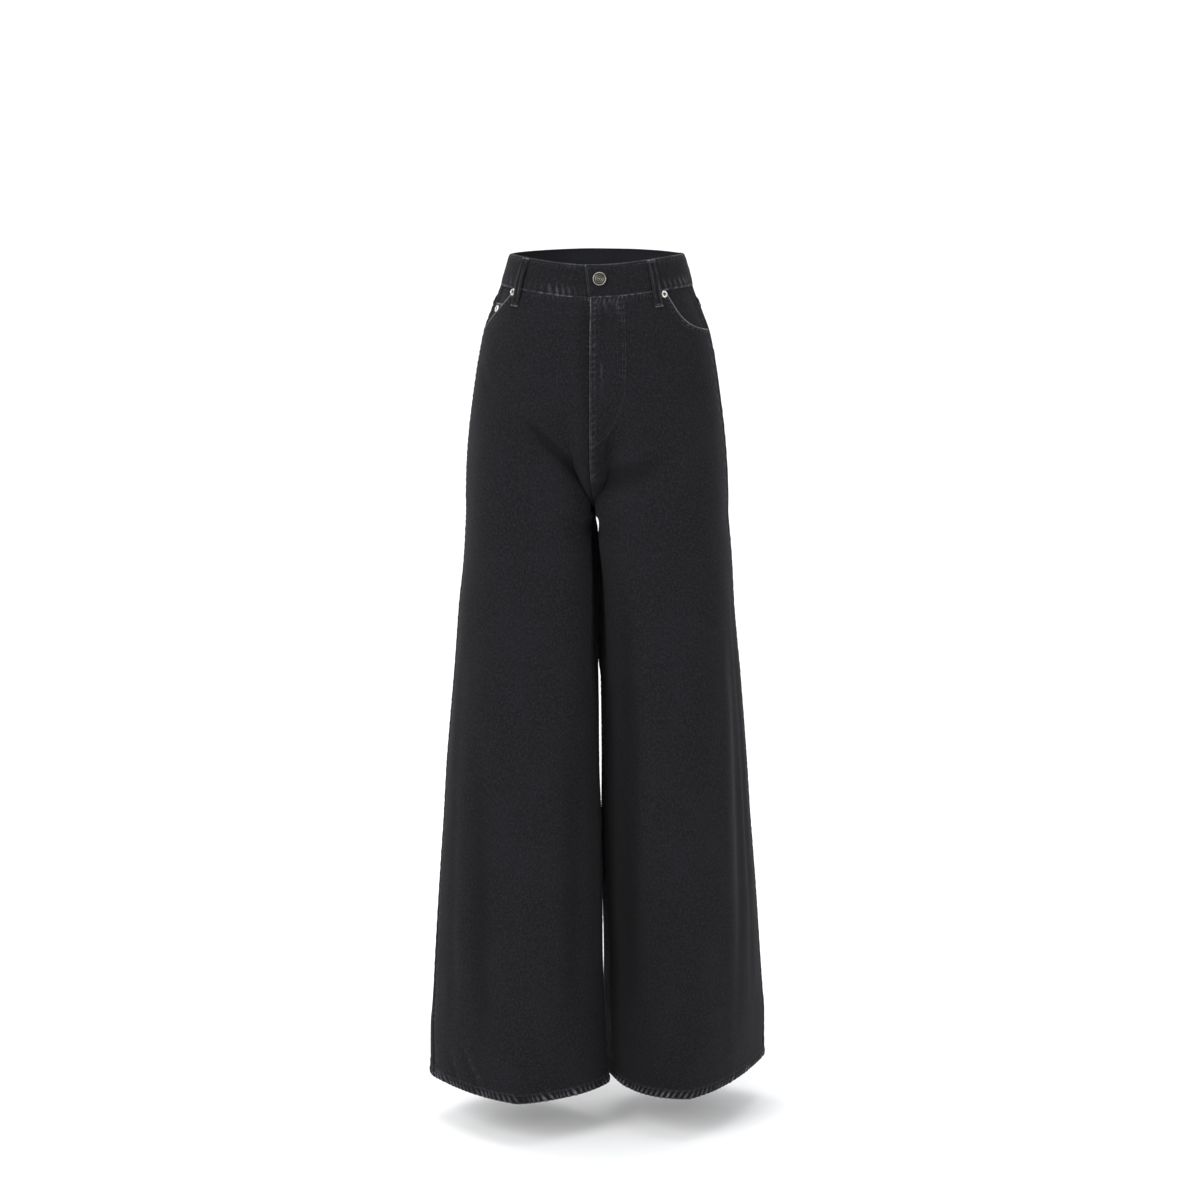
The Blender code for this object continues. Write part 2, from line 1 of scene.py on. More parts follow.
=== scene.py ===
# Wide-leg jeans in black washed denim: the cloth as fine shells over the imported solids, with their
# creases, seams, puckers, stitches and metal trims, and the studio round them.
#
# The garment's own coordinates, as the solids use them:
#   side    +1 the wearer's left half, -1 the right half
#   across  0 at the centre front (the inseam below the crotch), 1 at the side seam, 2 at the centre back
#   level   height under the waist edge, negative downwards
import math

import bpy
import numpy as np
from mathutils import Matrix, Vector


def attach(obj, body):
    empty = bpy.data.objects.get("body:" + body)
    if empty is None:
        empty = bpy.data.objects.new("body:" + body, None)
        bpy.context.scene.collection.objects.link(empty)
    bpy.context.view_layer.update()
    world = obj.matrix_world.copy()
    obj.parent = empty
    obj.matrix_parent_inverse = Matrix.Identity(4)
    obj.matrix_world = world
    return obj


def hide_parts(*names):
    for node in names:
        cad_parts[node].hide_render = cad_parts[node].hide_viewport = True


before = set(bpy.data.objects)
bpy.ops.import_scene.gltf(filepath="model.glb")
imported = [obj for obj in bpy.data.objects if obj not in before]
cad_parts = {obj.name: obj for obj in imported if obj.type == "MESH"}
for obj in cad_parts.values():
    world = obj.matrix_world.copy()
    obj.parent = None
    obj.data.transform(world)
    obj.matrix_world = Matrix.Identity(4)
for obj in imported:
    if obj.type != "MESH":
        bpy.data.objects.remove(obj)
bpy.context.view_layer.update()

# Cloth
cloth = 0.0012
gap = 0.0003
hemTurning = 0.012
hemLayers = 0.0026
bandOuter = 0.0008
bandWall = 0.0026

# Levels
bandSeam = -0.0385
crotch = -0.3273
hem = -1.0850
forkHeight = 0.100
forkShare = 0.24
thighHeight = 0.170
frontDip = 0.0115
frontDrop = 0.0035
backRise = 0.0050
dipEnd = -0.160

# Pose
stanceTurn = math.radians(5)
stanceLevel = -0.420
seamForward = {1: 0.016, -1: 0.020}

hips = {
    "columns": ("level", "halfWidth", "front", "back"),
    "rows": (
        (0.0300, 0.1020, 0.0780, 0.0790),
        (0.0000, 0.1099, 0.0830, 0.0840),
        (-0.0201, 0.1163, 0.0868, 0.0880),
        (-0.0403, 0.1216, 0.0904, 0.0920),
        (-0.0706, 0.1340, 0.0952, 0.0990),
        (-0.0960, 0.1433, 0.0985, 0.1050),
        (-0.1214, 0.1488, 0.1012, 0.1105),
        (-0.1596, 0.1552, 0.1038, 0.1165),
        (-0.1981, 0.1596, 0.1050, 0.1205),
        (-0.2367, 0.1625, 0.1048, 0.1215),
        (-0.2884, 0.1656, 0.1030, 0.1180),
        (-0.3273, 0.1684, 0.1012, 0.1135),
    ),
}
hipSquareness = 2.3

legColumns = ("level", "inner", "innerY", "outer", "outerY", "front", "back", "innerSquare", "outerSquare")
legs = {
    -1: {
        "columns": legColumns,
        "rows": (
            (-0.3273, -0.00015, 0.008, -0.1684, 0.000, -0.1010, 0.1130, 3.60, 2.15),
            (-0.3330, -0.0030, 0.008, -0.1686, 0.000, -0.1010, 0.1128, 3.60, 2.15),
            (-0.3430, -0.0040, 0.008, -0.1690, 0.000, -0.1012, 0.1122, 3.50, 2.15),
            (-0.3560, -0.0012, 0.006, -0.1696, 0.000, -0.1015, 0.1115, 3.40, 2.15),
            (-0.3900, -0.0002, 0.002, -0.1718, -0.001, -0.1020, 0.1095, 3.00, 2.15),
            (-0.4450, 0.0006, -0.006, -0.1780, -0.002, -0.1032, 0.1060, 2.60, 2.15),
            (-0.5250, 0.0012, -0.012, -0.1845, -0.003, -0.1050, 0.1010, 2.40, 2.15),
            (-0.5480, 0.0020, -0.013, -0.1866, -0.003, -0.1056, 0.1000, 2.40, 2.15),
            (-0.6586, 0.0031, -0.020, -0.1968, -0.004, -0.1085, 0.0950, 2.30, 2.15),
            (-0.7399, 0.0060, -0.024, -0.2021, -0.005, -0.1110, 0.0920, 2.30, 2.15),
            (-0.8219, 0.0070, -0.028, -0.2085, -0.006, -0.1135, 0.0880, 2.20, 2.05),
            (-0.9046, 0.0076, -0.032, -0.2146, -0.007, -0.1170, 0.0840, 2.00, 1.85),
            (-0.9880, 0.0110, -0.036, -0.2206, -0.008, -0.1205, 0.0790, 1.70, 1.60),
            (-1.0160, 0.0130, -0.038, -0.2231, -0.009, -0.1220, 0.0770, 1.60, 1.50),
            (-1.0850, 0.0170, -0.042, -0.2243, -0.010, -0.1250, 0.0730, 1.40, 1.35),
        ),
    },
    1: {
        "columns": legColumns,
        "rows": (
            (-0.3273, 0.00015, 0.008, 0.1690, 0.000, -0.1010, 0.1130, 3.60, 2.15),
            (-0.3330, 0.0030, 0.008, 0.1694, 0.000, -0.1010, 0.1128, 3.60, 2.15),
            (-0.3430, 0.0040, 0.008, 0.1704, 0.001, -0.1010, 0.1122, 3.50, 2.15),
            (-0.3560, 0.0016, 0.007, 0.1718, 0.002, -0.1010, 0.1115, 3.40, 2.15),
            (-0.3900, 0.0010, 0.006, 0.1745, 0.004, -0.1010, 0.1105, 3.00, 2.15),
            (-0.4450, 0.0018, 0.004, 0.1779, 0.008, -0.1010, 0.1085, 2.60, 2.15),
            (-0.5250, 0.0026, 0.004, 0.1857, 0.014, -0.1010, 0.1055, 2.40, 2.15),
            (-0.5480, 0.0050, 0.004, 0.1880, 0.016, -0.1012, 0.1050, 2.40, 2.15),
            (-0.6586, 0.0062, 0.004, 0.1976, 0.026, -0.1020, 0.1030, 2.30, 2.15),
            (-0.7399, 0.0058, 0.006, 0.2039, 0.034, -0.1030, 0.1030, 2.30, 2.15),
            (-0.8219, 0.0068, 0.008, 0.2114, 0.042, -0.1040, 0.1040, 2.25, 2.05),
            (-0.9046, 0.0090, 0.012, 0.2182, 0.050, -0.1050, 0.1050, 2.10, 1.85),
            (-0.9880, 0.0095, 0.016, 0.2252, 0.058, -0.1062, 0.1060, 1.95, 1.60),
            (-1.0160, 0.0104, 0.017, 0.2280, 0.060, -0.1066, 0.1065, 1.90, 1.50),
            (-1.0850, 0.0114, 0.022, 0.2292, 0.064, -0.1080, 0.1080, 1.80, 1.35),
        ),
    },
}

ringSamples = 1441
acrossSamples = 361


def smooth(value):
    value = np.clip(value, 0.0, 1.0)
    return value * value * (3.0 - 2.0 * value)


def bell(distance, width):
    return np.exp(-((distance / width) ** 2))


def column(table, name, level):
    place = table["columns"].index(name)
    levels = np.array([row[0] for row in table["rows"]])[::-1]
    values = np.array([row[place] for row in table["rows"]])[::-1]
    step = np.diff(levels)
    slope = np.diff(values) / step
    pairs = slope[:-1] * slope[1:]
    total = slope[:-1] + slope[1:]
    inner = np.where(pairs > 0, 2 * pairs / np.where(total == 0, 1, total), 0)
    tangent = np.concatenate([slope[:1], inner, slope[-1:]])
    i = int(np.clip(np.searchsorted(levels, level) - 1, 0, len(step) - 1))
    t = min(max((level - levels[i]) / step[i], 0.0), 1.0)
    start = values[i] * (1 + 2 * t) * (1 - t) ** 2 + values[i + 1] * t * t * (3 - 2 * t)
    return start + step[i] * (tangent[i] * t * (1 - t) ** 2 + tangent[i + 1] * t * t * (t - 1))


def shareOut(x, y, sideIndex, forward):
    run = np.concatenate([[0], np.cumsum(np.hypot(np.diff(x), np.diff(y)))])
    seam = run[sideIndex] - forward
    across = np.linspace(0, 2, acrossSamples)
    wanted = np.where(across <= 1, across * seam, seam + (across - 1) * (run[-1] - seam))
    points = np.stack([np.interp(wanted, run, x), np.interp(wanted, run, y)], axis=1)
    return points, seam, run[-1] - seam


def hipSection(side, level):
    angle = np.linspace(0, math.pi, ringSamples)
    power = 2 / hipSquareness
    x = side * column(hips, "halfWidth", level) * np.sin(angle) ** power
    reach = np.where(np.cos(angle) > 0, -column(hips, "front", level), column(hips, "back", level))
    y = reach * np.abs(np.cos(angle)) ** power
    return shareOut(x, y, ringSamples // 2, seamForward[side])


def legSection(side, level):
    table = legs[side]
    level = min(level, crotch)
    inner, outer = column(table, "inner", level), column(table, "outer", level)
    innerY, outerY = column(table, "innerY", level), column(table, "outerY", level)
    angle = np.linspace(0, 2 * math.pi, ringSamples)
    squares = column(table, "innerSquare", level), column(table, "outerSquare", level)
    square = np.where(np.cos(angle) > 0, *squares)
    along = np.sign(np.cos(angle)) * np.abs(np.cos(angle)) ** (2 / square)
    deep = np.abs(np.sin(angle)) ** (2 / square)
    middle = (innerY + outerY) / 2
    front, back = column(table, "front", level), column(table, "back", level)
    reach = np.where(np.sin(angle) > 0, front - middle, back - middle)
    x = (inner + outer) / 2 - (outer - inner) / 2 * along
    y = middle - (outerY - innerY) / 2 * along + reach * deep
    turn = stanceTurn * smooth((crotch - level) / (crotch - stanceLevel))
    x, y = x * math.cos(turn) - y * math.sin(turn), x * math.sin(turn) + y * math.cos(turn)
    return shareOut(x, y, ringSamples // 2, seamForward[side])


def levelList():
    upper = np.arange(0.030, crotch + forkHeight, -0.0025)
    fork = crotch + forkHeight * (1 - np.sin(np.linspace(0, math.pi / 2, 56)))
    lower = crotch - 0.012 * np.linspace(0, 1, 10)[1:] ** 1.5
    rest = np.linspace(lower[-1], hem - 0.002, 300)[1:]
    return np.concatenate([upper, fork, lower, rest])


# Large folds that the solids have too: both ends (across, level), width and depth of the trough.
foldColumns = ("side", "fromAcross", "fromLevel", "toAcross", "toLevel", "width", "depth")
folds = (
    (-1, 0.42, -0.215, 0.10, -0.318, 0.013, 0.0034),
    (-1, 0.30, -0.262, 0.04, -0.322, 0.009, 0.0030),
    (1, 0.14, -0.224, 0.07, -0.262, 0.008, 0.0024),
    (1, 0.52, -0.262, 0.12, -0.300, 0.014, 0.0034),
    (1, 0.34, -0.420, 0.29, -0.960, 0.016, 0.0045),
    (1, 0.86, -0.470, 0.72, -1.020, 0.013, 0.0032),
    (1, 0.60, -0.560, 0.52, -1.000, 0.020, -0.0030),
    (-1, 0.30, -0.600, 0.26, -1.010, 0.018, 0.0030),
    (-1, 0.72, -0.640, 0.66, -1.030, 0.018, 0.0030),
    (1, 1.45, -0.330, 1.25, -0.300, 0.014, 0.0035),
    (-1, 1.48, -0.335, 1.24, -0.296, 0.014, 0.0035),
    (1, 1.70, -0.420, 1.62, -0.900, 0.018, 0.0040),
    (-1, 1.68, -0.430, 1.60, -0.920, 0.018, 0.0040),
    (1, 1.30, -0.560, 1.34, -1.020, 0.020, 0.0035),
    (-1, 1.32, -0.580, 1.36, -1.030, 0.020, 0.0035),
)

# Smaller creases, only here.
creases = (
    (-1, 0.45, -0.204, 0.20, -0.278, 0.0062, 0.0034),
    (-1, 0.27, -0.258, 0.07, -0.312, 0.0066, 0.0022),
    (1, 0.46, -0.258, 0.20, -0.272, 0.0080, 0.0020),
    (-1, 0.09, -0.290, 0.01, -0.322, 0.0060, 0.0014),
    (-1, 0.33, -0.224, 0.16, -0.270, 0.0050, -0.0010),
    (-1, 0.62, -0.190, 0.40, -0.246, 0.0090, 0.0012),
    (1, 0.15, -0.226, 0.10, -0.252, 0.0035, 0.0016),
    (1, 0.083, -0.128, 0.074, -0.172, 0.0022, -0.0007),
    (1, 0.118, -0.046, 0.108, -0.088, 0.0030, 0.0014),
    (1, 0.075, -0.262, 0.035, -0.318, 0.0070, 0.0010),
    (1, 0.31, -0.268, 0.07, -0.322, 0.0085, 0.0026),
    (1, 0.62, -0.230, 0.40, -0.276, 0.0100, 0.0013),
    (1, 0.24, -0.330, 0.06, -0.345, 0.0060, 0.0014),
    (-1, 0.22, -0.335, 0.04, -0.348, 0.0060, 0.0014),
    (1, 0.93, -0.420, 0.86, -0.980, 0.0080, 0.0026),
    (1, 0.80, -0.500, 0.70, -1.040, 0.0120, -0.0028),
    (1, 0.43, -0.520, 0.38, -1.020, 0.0100, -0.0014),
    (1, 0.20, -0.480, 0.18, -1.040, 0.0200, 0.0030),
    (1, 0.09, -0.560, 0.09, -1.060, 0.0120, 0.0020),
    (-1, 0.50, -0.560, 0.46, -1.040, 0.0130, -0.0014),
    (-1, 0.87, -0.520, 0.84, -1.030, 0.0100, 0.0015),
    (-1, 0.80, -1.020, 0.70, -1.074, 0.0035, 0.0013),
    (-1, 0.74, -1.012, 0.66, -1.072, 0.0030, -0.0009),
    (-1, 0.88, -1.030, 0.82, -1.078, 0.0035, 0.0010),
    (1, 0.80, -0.150, 0.64, -0.190, 0.0100, 0.0012),
    (-1, 0.84, -0.140, 0.66, -0.185, 0.0100, 0.0012),
    (1, 1.90, -0.300, 1.55, -0.345, 0.0100, 0.0030),
    (-1, 1.90, -0.300, 1.52, -0.350, 0.0100, 0.0030),
    (1, 1.85, -0.345, 1.40, -0.400, 0.0120, 0.0024),
    (-1, 1.86, -0.350, 1.42, -0.410, 0.0120, 0.0024),
    (1, 1.75, -0.240, 1.95, -0.205, 0.0100, 0.0016),
    (-1, 1.77, -0.244, 1.95, -0.200, 0.0100, 0.0016),
    (1, 1.50, -0.560, 1.30, -0.610, 0.0120, 0.0018),
    (-1, 1.50, -0.570, 1.28, -0.620, 0.0120, 0.0018),
    (1, 1.62, -0.610, 1.80, -0.650, 0.0120, 0.0016),
    (-1, 1.60, -0.620, 1.80, -0.655, 0.0120, 0.0016),
    (1, 1.48, -0.640, 1.46, -1.040, 0.0100, -0.0016),
    (-1, 1.50, -0.640, 1.47, -1.040, 0.0100, -0.0016),
    (1, 1.86, -0.560, 1.84, -1.030, 0.0100, 0.0018),
    (-1, 1.85, -0.560, 1.83, -1.030, 0.0100, 0.0018),
)

# Pale scuffs on small wrinkles, and one long painted highlight: as the creases, with how pale they are.
scuffsAndHighlight = (
    (1, 0.104, -0.0400, 0.126, -0.0580, 0.0026, 0.22),
    (1, 0.158, -0.0400, 0.166, -0.0520, 0.0028, 0.17),
    (1, 0.200, -0.0410, 0.214, -0.0620, 0.0030, 0.18),
    (1, 0.062, -0.0420, 0.070, -0.0620, 0.0030, 0.12),
    (-1, 0.79, -1.0150, 0.69, -1.0700, 0.0022, 0.20),
    (-1, 0.87, -1.0280, 0.81, -1.0740, 0.0020, 0.18),
    (-1, 0.72, -1.0400, 0.66, -1.0740, 0.0018, 0.16),
    (1, 0.80, -1.0300, 0.72, -1.0740, 0.0022, 0.16),
    # Painted highlight: a long, wide pale band down the left leg's front.
    (1, 0.84, -0.4900, 0.72, -0.9400, 0.0180, 0.19),
    (1, 0.90, -0.1500, 0.92, -0.4200, 0.0160, 0.09),
)


def foldDepth(rows, side, across, level, girthFront, girthBack):
    depth = np.zeros(np.broadcast(across, level).shape)
    for row in rows:
        fold = dict(zip(foldColumns, row))
        if fold["side"] != side:
            continue
        girth = np.where(fold["fromAcross"] < 1, girthFront, girthBack)
        dx = (fold["toAcross"] - fold["fromAcross"]) * girth
        dz = fold["toLevel"] - fold["fromLevel"]
        px = (across - fold["fromAcross"]) * girth
        pz = level - fold["fromLevel"]
        length2 = dx * dx + dz * dz
        t = np.clip((px * dx + pz * dz) / length2, 0, 1)
        off = np.hypot(px - t * dx, pz - t * dz)
        taper = np.sin(math.pi * np.clip(t * 0.9 + 0.05, 0, 1)) ** 0.7
        depth += fold["depth"] * taper * bell(off, fold["width"])
    return depth


def unit(vectors):
    return vectors / np.maximum(np.linalg.norm(vectors, axis=-1, keepdims=True), 1e-12)


def facing(points, levels, side):
    above = levels >= crotch - 1e-9
    padded = np.concatenate([points[:, -2:-1], points, points[:, 1:2]], axis=1)
    along = padded[:, 2:] - padded[:, :-2]
    down = np.gradient(points, -levels, axis=0)
    normals = unit(np.cross(along, -down)) * side
    for place, way in {0: -1, acrossSamples - 1: 1}.items():
        rise = -np.gradient(points[:, place], -levels, axis=0)
        centre = np.stack([np.zeros(len(levels)), way * rise[:, 2], -way * rise[:, 1]], axis=1)
        normals[above, place] = unit(centre)[above]
    return normals


def garmentHalf(side):
    levels = levelList()
    across = np.linspace(0, 2, acrossSamples)
    points = np.zeros((len(levels), acrossSamples, 3))
    girths = np.zeros((len(levels), 2))
    for k, level in enumerate(levels):
        leg, *legGirths = legSection(side, level)
        if level < crotch:
            points[k, :, :2], girths[k] = leg, legGirths
        else:
            hip, *hipGirths = hipSection(side, level)
            fall = np.clip((crotch + forkHeight - level) / forkHeight, 0, 1)
            fork = 1 - math.sqrt(1 - fall * fall)
            thigh = smooth((crotch + thighHeight - level) / thighHeight)
            share = smooth(np.minimum(across, 2 - across) / forkShare)
            weight = ((1 - share) * fork + share * thigh)[:, None]
            points[k, :, :2] = (1 - weight) * hip + weight * leg
            mean = float(weight.mean())
            girths[k] = (1 - mean) * np.array(hipGirths) + mean * np.array(legGirths)
        fade = smooth((level - dipEnd) / -dipEnd)
        front = np.cos(np.clip(across, 0, 1) * math.pi / 2) ** 2
        back = np.sin((np.clip(across, 1, 2) - 1) * math.pi / 2) ** 2
        dip = frontDip + frontDrop * smooth(level / bandSeam)
        points[k, :, 2] = level + fade * (backRise * back - dip * front)
    normals = facing(points, levels, side)
    depth = foldDepth(folds, side, across[None, :], levels[:, None], girths[:, :1], girths[:, 1:])
    points = points - normals * depth[..., None]
    return {"levels": levels, "points": points, "normals": facing(points, levels, side), "girths": girths}


halves = {side: garmentHalf(side) for side in (1, -1)}
print("garment form ready")


def read(field, row, place):
    r = np.clip(np.floor(row).astype(int), 0, field.shape[0] - 2)
    c = np.clip(np.floor(place).astype(int), 0, field.shape[1] - 2)
    fr = (row - r)[..., None]
    fc = (place - c)[..., None]
    above = field[r, c] * (1 - fc) + field[r, c + 1] * fc
    below = field[r + 1, c] * (1 - fc) + field[r + 1, c + 1] * fc
    return above * (1 - fr) + below * fr


def onCloth(side, across, level, out):
    half = halves[side]
    across, level, out = np.broadcast_arrays(across, level, out)
    row = np.interp(-level, -half["levels"], np.arange(len(half["levels"])))
    place = np.clip(across, 0, 2) / 2 * (acrossSamples - 1)
    points = read(half["points"], row, place)
    points = points + unit(read(half["normals"], row, place)) * out[..., None]
    above = level >= crotch - 1e-9
    points[..., 0] = np.where(above, side * np.maximum(side * points[..., 0], 0.00005), points[..., 0])
    return points


def girth(side, level, half=0):
    table = halves[side]
    return np.interp(-level, -table["levels"], table["girths"][:, half])


def aroundWaist(path, level, out):
    path, level, out = np.broadcast_arrays(path, level, out)
    left = np.where(path > 4, path - 4, path)
    onLeft = (left >= 0) & (left <= 2)
    across = np.where(onLeft, left, np.where(path < 0, -path, 4 - path))
    return np.where(onLeft[..., None], onCloth(1, across, level, out), onCloth(-1, across, level, out))


def noise(u, v, seed):
    # Soft noise from -1 to 1, one cell to a unit.
    cellU, cellV = np.floor(u), np.floor(v)
    shareU, shareV = smooth(u - cellU), smooth(v - cellV)

    def corner(a, b):
        value = np.sin(a * 127.1 + b * 311.7 + seed * 74.7) * 43758.5453
        return value - np.floor(value)

    upper = corner(cellU, cellV) * (1 - shareU) + corner(cellU + 1, cellV) * shareU
    lower = corner(cellU, cellV + 1) * (1 - shareU) + corner(cellU + 1, cellV + 1) * shareU
    return 2 * (upper * (1 - shareV) + lower * shareV) - 1


def puckers(run, away, pitch, slant, seed):
    # Uneven crests across a seam, 0 to 1: run along the seam, away from it.
    phase = run / pitch + slant * away / pitch + 0.55 * noise(run / pitch / 2.7, away / 0.03, seed)
    crest = 0.5 + 0.5 * np.cos(2 * math.pi * phase)
    strength = 0.65 + 0.35 * noise(run / pitch / 1.9 + 7, away / 0.02, seed + 3)
    return crest ** 1.6 * strength


def pathPoints(rows, step):
    # A polyline's points (across, level) at even shares.
    rows = np.array(rows, float)
    run = np.concatenate([[0], np.cumsum(np.hypot(np.diff(rows[:, 0]) * 0.3, np.diff(rows[:, 1])))])
    wanted = np.linspace(0, run[-1], max(int(run[-1] / step), 2))
    return np.interp(wanted, run, rows[:, 0]), np.interp(wanted, run, rows[:, 1])


def rounded(rows, passes=2):
    # Cuts a polyline's corners.
    rows = [tuple(row) for row in rows]
    for _ in range(passes):
        cut = [rows[0]]
        for a, b in zip(rows, rows[1:]):
            cut.append(tuple(0.75 * p + 0.25 * q for p, q in zip(a, b)))
            cut.append(tuple(0.25 * p + 0.75 * q for p, q in zip(a, b)))
        rows = cut + [rows[-1]]
    return rows


def toPath(side, rows, across, level):
    # Distance to a polyline on a front panel, and how far along it that is.
    best = np.full(np.broadcast(across, level).shape, 1.0)
    along = np.zeros(best.shape)
    wide = girth(side, np.array([rows[0][1]]), 0)[0]
    start = 0.0
    for (a0, l0), (a1, l1) in zip(rows, rows[1:]):
        dx, dz = (a1 - a0) * wide, l1 - l0
        px, pz = (across - a0) * wide, level - l0
        length = math.hypot(dx, dz)
        t = np.clip((px * dx + pz * dz) / length ** 2, 0, 1)
        off = np.hypot(px - t * dx, pz - t * dz)
        nearer = off < best
        along = np.where(nearer, start + t * length, along)
        best = np.where(nearer, off, best)
        start += length
    return best, along


# The pocket openings and the fly's curved sewing, as (across, level).
openingCorners = {
    1: (
        (0.615, -0.0370), (0.642, -0.0500), (0.692, -0.0725),
        (0.775, -0.0860), (0.880, -0.0915), (1.03, -0.0940),
    ),
    -1: (
        (0.680, -0.0370), (0.725, -0.0480), (0.800, -0.0640),
        (0.880, -0.0785), (0.940, -0.0870), (1.03, -0.0950),
    ),
}
openings = {side: rounded(rows) for side, rows in openingCorners.items()}
flySewing = rounded(
    ((0.242, -0.0385), (0.212, -0.150), (0.200, -0.185), (0.180, -0.203), (0.125, -0.214), (0.0, -0.232))
)
yoke = {"atSide": -0.0620, "slope": -0.0330, "rise": 0.0010, "turning": 0.008, "wear": 0.5}


def openingLevel(side, across):
    rows = openings[side]
    return np.interp(across, [row[0] for row in rows], [row[1] for row in rows])


def yokeSeam(across):
    return yoke["atSide"] + yoke["slope"] * (across - 1)


# Seams: the pitch, slant and seed of their puckers, then the soft lines beside them. A line has what it
# changes, by how much (metres, or a share of the pale marks of wear and painted sheen), how far from the
# seam, how wide, and whether the puckers break it up.
seams = {
    "side": (
        (0.0085, 0.5, 5),
        ("height", 0.0009, 0.0, 0.0070, True),
        ("height", -0.0009, 0.0, 0.0010, False),
        ("wear", 0.55, 0.0022, 0.0030, True),
    ),
    "besideSide": (
        (0.0170, 0.8, 7),
        ("height", 0.0005, 0.0090, 0.0060, True),
        ("wear", 0.18, 0.0095, 0.0045, True),
        # Painted sheen: an even pale band beside the side seam.
        ("wear", 0.06, 0.0100, 0.0120, False),
    ),
    "centre": (
        (0.0080, 0.4, 9),
        ("height", 0.0005, 0.0040, 0.0040, True),
        ("height", -0.0008, 0.0, 0.0010, False),
        ("wear", 0.20, 0.0030, 0.0030, True),
    ),
    "flyEdge": (
        (0.0090, 0.3, 30),
        ("height", 0.0009, 0.0, 0.0012, False),
        ("height", 0.0004, 0.0055, 0.0030, True),
        ("wear", 0.30, 0.0060, 0.0028, True),
    ),
    "flySewing": (
        (0.0080, 0.3, 32),
        ("height", 0.0004, 0.0040, 0.0040, True),
        ("height", -0.0003, 0.0, 0.0011, False),
        ("wear", 0.18, 0.0020, 0.0030, True),
    ),
    "opening": (
        (0.0065, 0.4, 13),
        ("height", 0.0005, 0.0045, 0.0030, True),
        ("height", -0.0004, 0.0020, 0.0010, False),
        ("height", 0.0006, 0.0, 0.0060, False),
        ("wear", 0.45, 0.0040, 0.0022, True),
    ),
    "underBand": ((0.0052, 0.25, 17), ("height", 0.0004, 0.0, 0.0100, True)),
    "yoke": ((0.0075, 0.3, 21), ("height", 0.0004, 0.0050, 0.0040, True)),
    "hem": (
        (0.0076, -0.50, 25),
        ("height", -0.0005, 0.0102, 0.0010, False),
        ("height", 0.0005, 0.0170, 0.0060, True),
        ("wear", 0.95, 0.0045, 0.0055, True),
        ("wear", 0.21, 0.0, 0.0011, False),
        ("wear", 0.49, 0.0, 0.0011, True),
    ),
    "facing": (
        (0.0085, 0.5, 55),
        ("height", 0.0006, 0.0, 0.0060, True),
        ("height", -0.0008, 0.0, 0.0010, False),
        ("wear", 0.35, 0.0020, 0.0030, True),
    ),
    "bandFoot": (
        (0.0082, 0.12, 71),
        ("height", 0.0010, 0.0060, 0.0080, True),
        ("height", -0.0004, 0.0018, 0.0010, False),
        ("height", -0.0005, 0.0, 0.0007, False),
        ("wear", 0.62, 0.0070, 0.0070, True),
    ),
    "bandTop": (
        (0.0066, 0.20, 73),
        ("height", 0.0005, 0.0060, 0.0060, True),
        ("height", -0.0004, 0.0030, 0.0010, False),
        ("height", -0.0010, 0.0, 0.0010, False),
        ("wear", 0.40, 0.0045, 0.0045, True),
        ("wear", 0.30, 0.0, 0.0012, False),
    ),
    "backPocket": (
        (0.0075, 0.3, 80),
        ("height", 0.0004, 0.0040, 0.0040, True),
        ("height", -0.0003, 0.0018, 0.0010, False),
        ("wear", 0.55, 0.0, 0.0013, False),
        ("wear", 0.25, 0.0030, 0.0030, True),
    ),
}
panelSeeds = {1: 11, -1: 31}


def seamMarks(name, run, away, seed=0, strength=1.0):
    # Height and pale marks of a seam's lines (wear, and beside the side seam a painted sheen), and the crests
    # of its puckers.
    (pitch, slant, ownSeed), *lines = seams[name]
    crest = puckers(run, away, pitch, slant, seed + ownSeed) * strength
    sums = {"height": 0.0, "wear": 0.0}
    for kind, amount, at, width, broken in lines:
        sums[kind] = sums[kind] + amount * bell(np.abs(away) - at, width) * (crest if broken else 1.0)
    return sums["height"], sums["wear"], crest


def between(level, top, topFade, foot, footFade):
    # 1 between two levels, with soft ends.
    return smooth((top - level) / topFade) * smooth((level - foot) / footFade)


# Waves of slack: depth, width and height of one wave.
slackWaves = ((0.0012, 0.055, 0.150), (0.0004, 0.021, 0.045))
bridges = {
    "across": 0.165,
    "wide": 0.090,
    1: {"rise": 0.0080, "levels": (-0.220, 0.030, -0.332, 0.045)},
    -1: {"rise": 0.0072, "levels": (-0.205, 0.035, -0.334, 0.070)},
}
fly = {
    "end": -0.288,
    "facingRise": 0.0011,
    "facingWide": 0.036,
    "edgeWear": 0.30,
    "topWear": 0.28,
    "rubAcross": 0.0785,
    "rubWear": 0.20,
    "rubLevels": (-0.116, 0.02, -0.190, 0.03),
    "shade": 0.55,
    "shadeLevels": (bandSeam, 0.006, -0.322, 0.02),
}
thighs = {
    "drawn": 0.0050,
    "drawnLevels": (-0.336, 0.030, -0.600, 0.110),
    "meeting": 0.0007,
    "meetingLevels": (-0.350, 0.012, -0.545, 0.030),
    "splitLevel": -0.3308,
    "splitHigh": 0.0105,
    "split": 0.0038,
}
# Shade on the inner legs: how dark, how far across at the top, and how much further at the hem.
innerShade = {1: (0.62, 0.32, 0.30), -1: (0.24, 0.22, 0.0)}
rope = {"rise": 0.0014, "roundness": 0.6, "turningRise": 0.0003, "turningWear": 0.15, "gapShade": 0.75}


